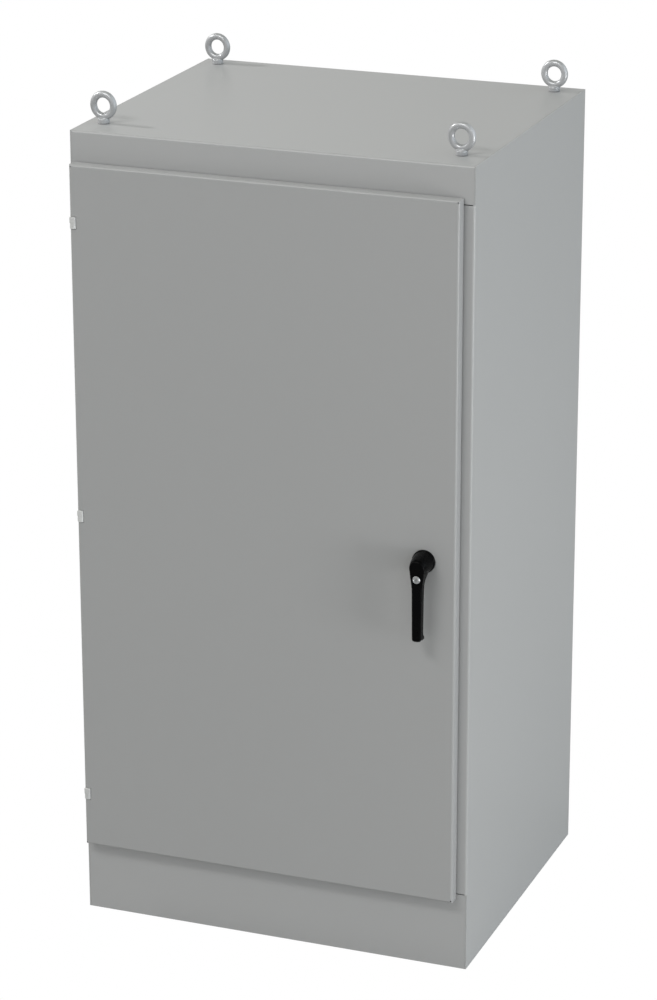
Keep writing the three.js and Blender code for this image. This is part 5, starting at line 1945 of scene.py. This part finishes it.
@dataclass
class Controller:
    """Controller with a cover, a display, indicator lights, a cable row and two buttons."""

    def build(self) -> None:
        """Dresses the case and builds what the cover carries."""
        dress_node("controller_case", GREY_PLASTIC, 1.2 * MM, 3)
        dress_node("controller_cover", BLACK_MOULDING, 0.9 * MM, 3)
        low, high = low_high("controller_cover")
        width, height = high.x - low.x, high.z - low.z
        window = Piece("display_window", SCREEN_GLASS, "cabinet")
        window.block((low.x + width * 0.16, low.y - 0.5 * MM, high.z - height * 0.45),
                     (low.x + width * 0.70, low.y + 1 * MM, high.z - height * 0.14), 0.5 * MM)
        window.publish()
        bezel = Piece("display_bezel", GREY_PLASTIC, "cabinet")
        x0, x1 = low.x + width * 0.135, low.x + width * 0.725
        z0, z1 = high.z - height * 0.485, high.z - height * 0.105
        rim = 5 * MM
        for a, b in (((x0, z0), (x1, z0 + rim)), ((x0, z1 - rim), (x1, z1)), ((x0, z0), (x0 + rim, z1)),
                     ((x1 - rim, z0), (x1, z1))):
            bezel.block((a[0], low.y - 1.6 * MM, a[1]), (b[0], low.y + 0.5 * MM, b[1]), 0.8 * MM)
        bezel.publish()
        lights = Piece("indicator_lights", GREEN_PLASTIC, "cabinet")
        alarms = Piece("alarm_lights", RED_PLASTIC, "cabinet")
        for row in range(4):
            z = z1 - 7 * MM - row * (z1 - z0 - 14 * MM) / 3
            target = alarms if row == 3 else lights
            target.turned([(0, 2.2 * MM), (1.6 * MM, 1.9 * MM), (2.6 * MM, 1.0 * MM), (2.9 * MM, 0),
                           (2.9 * MM, -1 * MM)], (low.x + width * 0.84, low.y, z), Axis.FRONT, 20)
        lights.publish()
        alarms.publish()
        screws = Piece("cover_screws", ZINC, "cabinet")
        for x in (low.x + 8 * MM, high.x - 8 * MM):
            for z in (low.z + 8 * MM, high.z - 8 * MM):
                screws.pan_screw((x, low.y, z), Axis.FRONT, 3.6 * MM)
        screws.publish()
        for node, finish, body in (("test_button", GREEN_PLASTIC, "test_push"),
                                   ("reset_button", RED_PLASTIC, "reset_push")):
            self.button(node, finish, body, low.y)
        self.cable_row()

    def button(self, node: str, finish: Finish, body: str, cover: float) -> None:
        """Builds a dished push button and the ring round it.

        Args:
            node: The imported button.
            finish: Its colour.
            body: The body it rides on.
            cover: Depth of the cover's face.
        """
        low, high = low_high(node)
        centre, radius = (low + high) / 2, (high.x - low.x) / 2
        cap = Piece(f"{node}_cap", finish, body, (node,))
        length = high.y - low.y
        cap.turned([(0, 0.9 * MM), (radius * 0.5, 0.6 * MM), (radius * 0.78, 0.1 * MM), (radius * 0.9, 0.0),
                    (radius, 0.9 * MM), (radius, length)], (centre.x, low.y, centre.z), Axis.Y, 48)
        cap.publish()
        ring = Piece(f"{node}_ring", GREY_PLASTIC, "cabinet")
        ring.turned([(radius + 0.5 * MM, 0), (radius + 3.2 * MM, 0), (radius + 3.2 * MM, 1.2 * MM),
                     (radius + 2.2 * MM, 2.2 * MM), (radius + 0.9 * MM, 2.2 * MM),
                     (radius + 0.5 * MM, 1.6 * MM), (radius + 0.5 * MM, 0)],
                    (centre.x, cover, centre.z), Axis.FRONT, 48)
        ring.publish()

    def cable_row(self) -> None:
        """Adds the row of terminals under the case."""
        low, high = low_high("controller_case")
        row = Piece("controller_terminals", GREEN_PLASTIC, "cabinet")
        pins = Piece("controller_terminal_screws", ZINC, "cabinet")
        count, pitch = 14, 12 * MM
        start = (low.x + high.x) / 2 - pitch * (count - 1) / 2
        for number in range(count):
            x = start + pitch * number
            row.block((x - pitch / 2 + 0.3 * MM, low.y + 18 * MM, low.z - 9 * MM),
                      (x + pitch / 2 - 0.3 * MM, low.y + 34 * MM, low.z + 0.5 * MM), 0.7 * MM)
            pins.pan_screw((x, low.y + 18 * MM, low.z - 4 * MM), Axis.FRONT, 2.6 * MM)
        row.publish()
        pins.publish()


@dataclass
class PowerSide:
    """Control transformer, neutral and ground bars and the wire duct."""

    def build(self) -> None:
        """Builds them all."""
        dress_node("control_transformer", IRON, 0.8 * MM)
        self.winding()
        for node in ("neutral_bar", "ground_bar"):
            dress_node(node, COPPER, 0.8 * MM, 3)
            self.bar_screws(node)
        dress_node("wire_duct", DUCT_PLASTIC, 0.4 * MM)
        self.duct_slots()

    def winding(self) -> None:
        """Adds the taped winding over the transformer's core, with bolts at its corners."""
        low, high = low_high("control_transformer")
        centre = (low + high) / 2
        width, height = high.x - low.x, high.z - low.z
        coil = Piece("transformer_winding", COIL_TAPE, "cabinet")
        coil.block((centre.x - width * 0.26, low.y - 0.4 * MM, centre.z - height * 0.345),
                   (centre.x + width * 0.26, low.y + 20 * MM, centre.z + height * 0.345), 5 * MM, 4)
        coil.publish()
        bolts = Piece("transformer_bolts", ZINC, "cabinet")
        stack_front = high.y - (high.y - low.y) * 0.75
        for x in (low.x + 8 * MM, high.x - 8 * MM):
            for z in (low.z + 8 * MM, high.z - 8 * MM):
                bolts.hexagon((x, stack_front, z), Axis.FRONT, 8 * MM, 4 * MM)
        bolts.publish()

    def bar_screws(self, node: str) -> None:
        """Adds a row of slotted screws along a bar.

        Args:
            node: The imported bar.
        """
        low, high = low_high(node)
        screws = Piece(f"{node}_screws", ZINC, "cabinet")
        count = 15
        z = (low.z + high.z) / 2
        for number in range(count):
            x = low.x + (high.x - low.x) * (number + 0.5) / count
            screws.pan_screw((x, low.y, z), Axis.FRONT, 5 * MM)
        screws.publish()

    def duct_slots(self) -> None:
        """Adds the lid of the duct and the fingers down both of its sides."""
        low, high = low_high("wire_duct")
        lid = Piece("duct_lid", DUCT_PLASTIC, "cabinet")
        gap, wall, skirt, proud = 0.1 * MM, 1.2 * MM, 9 * MM, 1.4 * MM
        lid.prism([(low.x - wall, low.y + skirt), (low.x - wall, low.y - proud),
                   (high.x + wall, low.y - proud), (high.x + wall, low.y + skirt),
                   (high.x + gap, low.y + skirt), (high.x + gap, low.y),
                   (low.x - gap, low.y), (low.x - gap, low.y + skirt)],
                  Axis.Z, (low.z, high.z), 0.3 * MM, 1)
        lid.publish()
        fingers = Piece("duct_fingers", DUCT_PLASTIC, "cabinet")
        pitch = 12.5 * MM
        count = int((high.z - low.z) / pitch)
        for number in range(count):
            z = low.z + pitch * (number + 0.5)
            for x in (low.x - 0.6 * MM, high.x - 0.1 * MM):
                fingers.block((x, low.y + skirt, z - 3.8 * MM),
                              (x + 0.7 * MM, high.y - 12 * MM, z + 3.8 * MM))
        fingers.publish()


# ---------------------------------------------------------------- studio

@dataclass
class Studio:
    """White floor and surroundings, three lights and the camera."""

    eye: Point = (2.7127, -7.1089, 3.5980)
    azimuth: float = 20.981
    elevation: float = 19.364
    roll: float = -0.085
    lens: float = 127.52
    film: float = 36.0
    low_sky: Colour = (0.69, 0.69, 0.695)
    high_sky: Colour = (0.285, 0.29, 0.24)
    right_sky: Colour = (1.13, 1.25, 1.33)
    reach: float = 30.0
    floor_height: float = -0.5 * MM

    def build(self) -> None:
        """Sets up everything that isn't part of the object."""
        self.floor()
        self.world()
        self.lights()
        self.camera()

    def floor(self) -> None:
        """Builds the flat floor, just below the cabinet's underside."""
        data = bpy.data.meshes.new("studio_floor")
        mesh = bmesh.new()
        reach = self.reach
        corners = [mesh.verts.new((x, y, self.floor_height)) for x, y in
                   ((-reach, -reach), (reach, -reach), (reach, reach), (-reach, reach))]
        mesh.faces.new(corners)
        mesh.to_mesh(data)
        mesh.free()
        floor = bpy.data.objects.new("studio_floor", data)
        bpy.context.scene.collection.objects.link(floor)
        data.materials.append(self.paper())

    def paper(self) -> bpy.types.Material:
        """Paper that is plain white to the camera and grey to everything it lights.

        Returns:
            The material.
        """
        material = bpy.data.materials.new("studio_paper")
        material.use_nodes = True
        graph = Graph(material.node_tree)
        shader = material.node_tree.nodes["Principled BSDF"]
        patches = PATCHES.place(graph, Scale=0.6)
        tone = graph.mix(patches.outputs["Mask"], (0.46, 0.46, 0.46), (0.48, 0.48, 0.48))
        ray = graph.node("ShaderNodeLightPath")
        base = graph.mix(ray.outputs["Is Camera Ray"], tone, (0.0, 0.0, 0.0))
        graph.link(base, shader.inputs["Base Color"])
        shader.inputs["Roughness"].default_value = 0.9
        shader.inputs["Specular IOR Level"].default_value = 0.0
        shader.inputs["Emission Color"].default_value = (1.0, 1.0, 1.0, 1.0)
        graph.link(ray.outputs["Is Camera Ray"], shader.inputs["Emission Strength"])
        return material

    def world(self) -> None:
        """Surroundings that are white to the camera, darker above and brighter on the right."""
        world = bpy.data.worlds.new("studio")
        world.use_nodes = True
        bpy.context.scene.world = world
        graph = Graph(world.node_tree)
        background = world.node_tree.nodes["Background"]
        place = graph.node("ShaderNodeTexCoord").outputs["Generated"]
        split = graph.node("ShaderNodeSeparateXYZ")
        graph.link(place, split.inputs[0])
        up = graph.ramp(split.outputs["Z"], 0.0, 1.0)
        side = graph.ramp(split.outputs["X"], 0.2, 1.0)
        tone = graph.mix(up, self.low_sky, self.high_sky)
        tone = graph.mix(graph.maths("MULTIPLY", side, 0.8), tone, self.right_sky)
        ray = graph.node("ShaderNodeLightPath")
        seen = graph.mix(ray.outputs["Is Camera Ray"], tone, (1.0, 1.0, 1.0))
        graph.link(seen, background.inputs["Color"])
        bpy.context.scene.view_settings.view_transform = "Standard"

    def lights(self) -> None:
        """Three lights: one on the upper left, a wide one high in front and one low on the right."""
        for name, place, width, height, power, target in (
            ("light_left", (-4.0, -0.2, 4.2), 0.45, 0.45, 85.0, (0.0, 0.0, 1.8)),
            ("light_above", (-1.6, -5.2, 6.4), 3.4, 1.4, 155.0, (0.0, -0.2, 1.0)),
            ("light_right", (4.4, -1.5, 0.4), 0.9, 2.0, 90.0, (0.3, 0.0, 0.3)),
        ):
            data = bpy.data.lights.new(name, "AREA")
            data.shape, data.size, data.size_y, data.energy = "RECTANGLE", width, height, power
            light = bpy.data.objects.new(name, data)
            bpy.context.scene.collection.objects.link(light)
            light.location = place
            light.rotation_euler = (Vector(target) - Vector(place)).to_track_quat("-Z", "Y").to_euler()

    def camera(self) -> None:
        """Places the camera."""
        data = bpy.data.cameras.new("camera")
        data.sensor_width, data.lens, data.sensor_fit = self.film, self.lens, "AUTO"
        data.clip_start, data.clip_end = 0.1, 100.0
        camera = bpy.data.objects.new("camera", data)
        bpy.context.scene.collection.objects.link(camera)
        turn, rise = math.radians(self.azimuth), math.radians(self.elevation)
        back = Vector((math.sin(turn) * math.cos(rise), -math.cos(turn) * math.cos(rise), math.sin(rise)))
        right = Vector((math.cos(turn), math.sin(turn), 0.0))
        up = back.cross(right)
        tilt = math.radians(self.roll)
        rolled_right = right * math.cos(tilt) + up * math.sin(tilt)
        rolled_up = back.cross(rolled_right)
        basis = Matrix((rolled_right, rolled_up, back)).transposed().to_4x4()
        camera.matrix_world = Matrix.Translation(self.eye) @ basis
        bpy.context.scene.camera = camera


def main() -> None:
    """Builds the cabinet from the outside in, then the studio."""
    logging.basicConfig(level=logging.INFO, format="%(name)s: %(message)s")
    for hand, side in (("left", -1), ("right", 1)):
        SideSheet(hand, side).build()
    FrontSheet("top_panel", "top_sheet").build_top()
    FrontSheet("plinth_panel", "plinth_sheet").build_plinth()
    for place in ("front_left", "front_right", "back_left", "back_right"):
        LiftingEye(place).build()
    for place in ("bottom", "middle", "top"):
        Hinge(place).build()
    DoorPan().build()
    LeverHandle().build()
    LatchGear().build()
    CabinetBack().build()
    SwitchBase().build()
    TransferShaft().build()
    Solenoid().build()
    Controller().build()
    PowerSide().build()
    Studio().build()


if __name__ == "__main__":
    main()
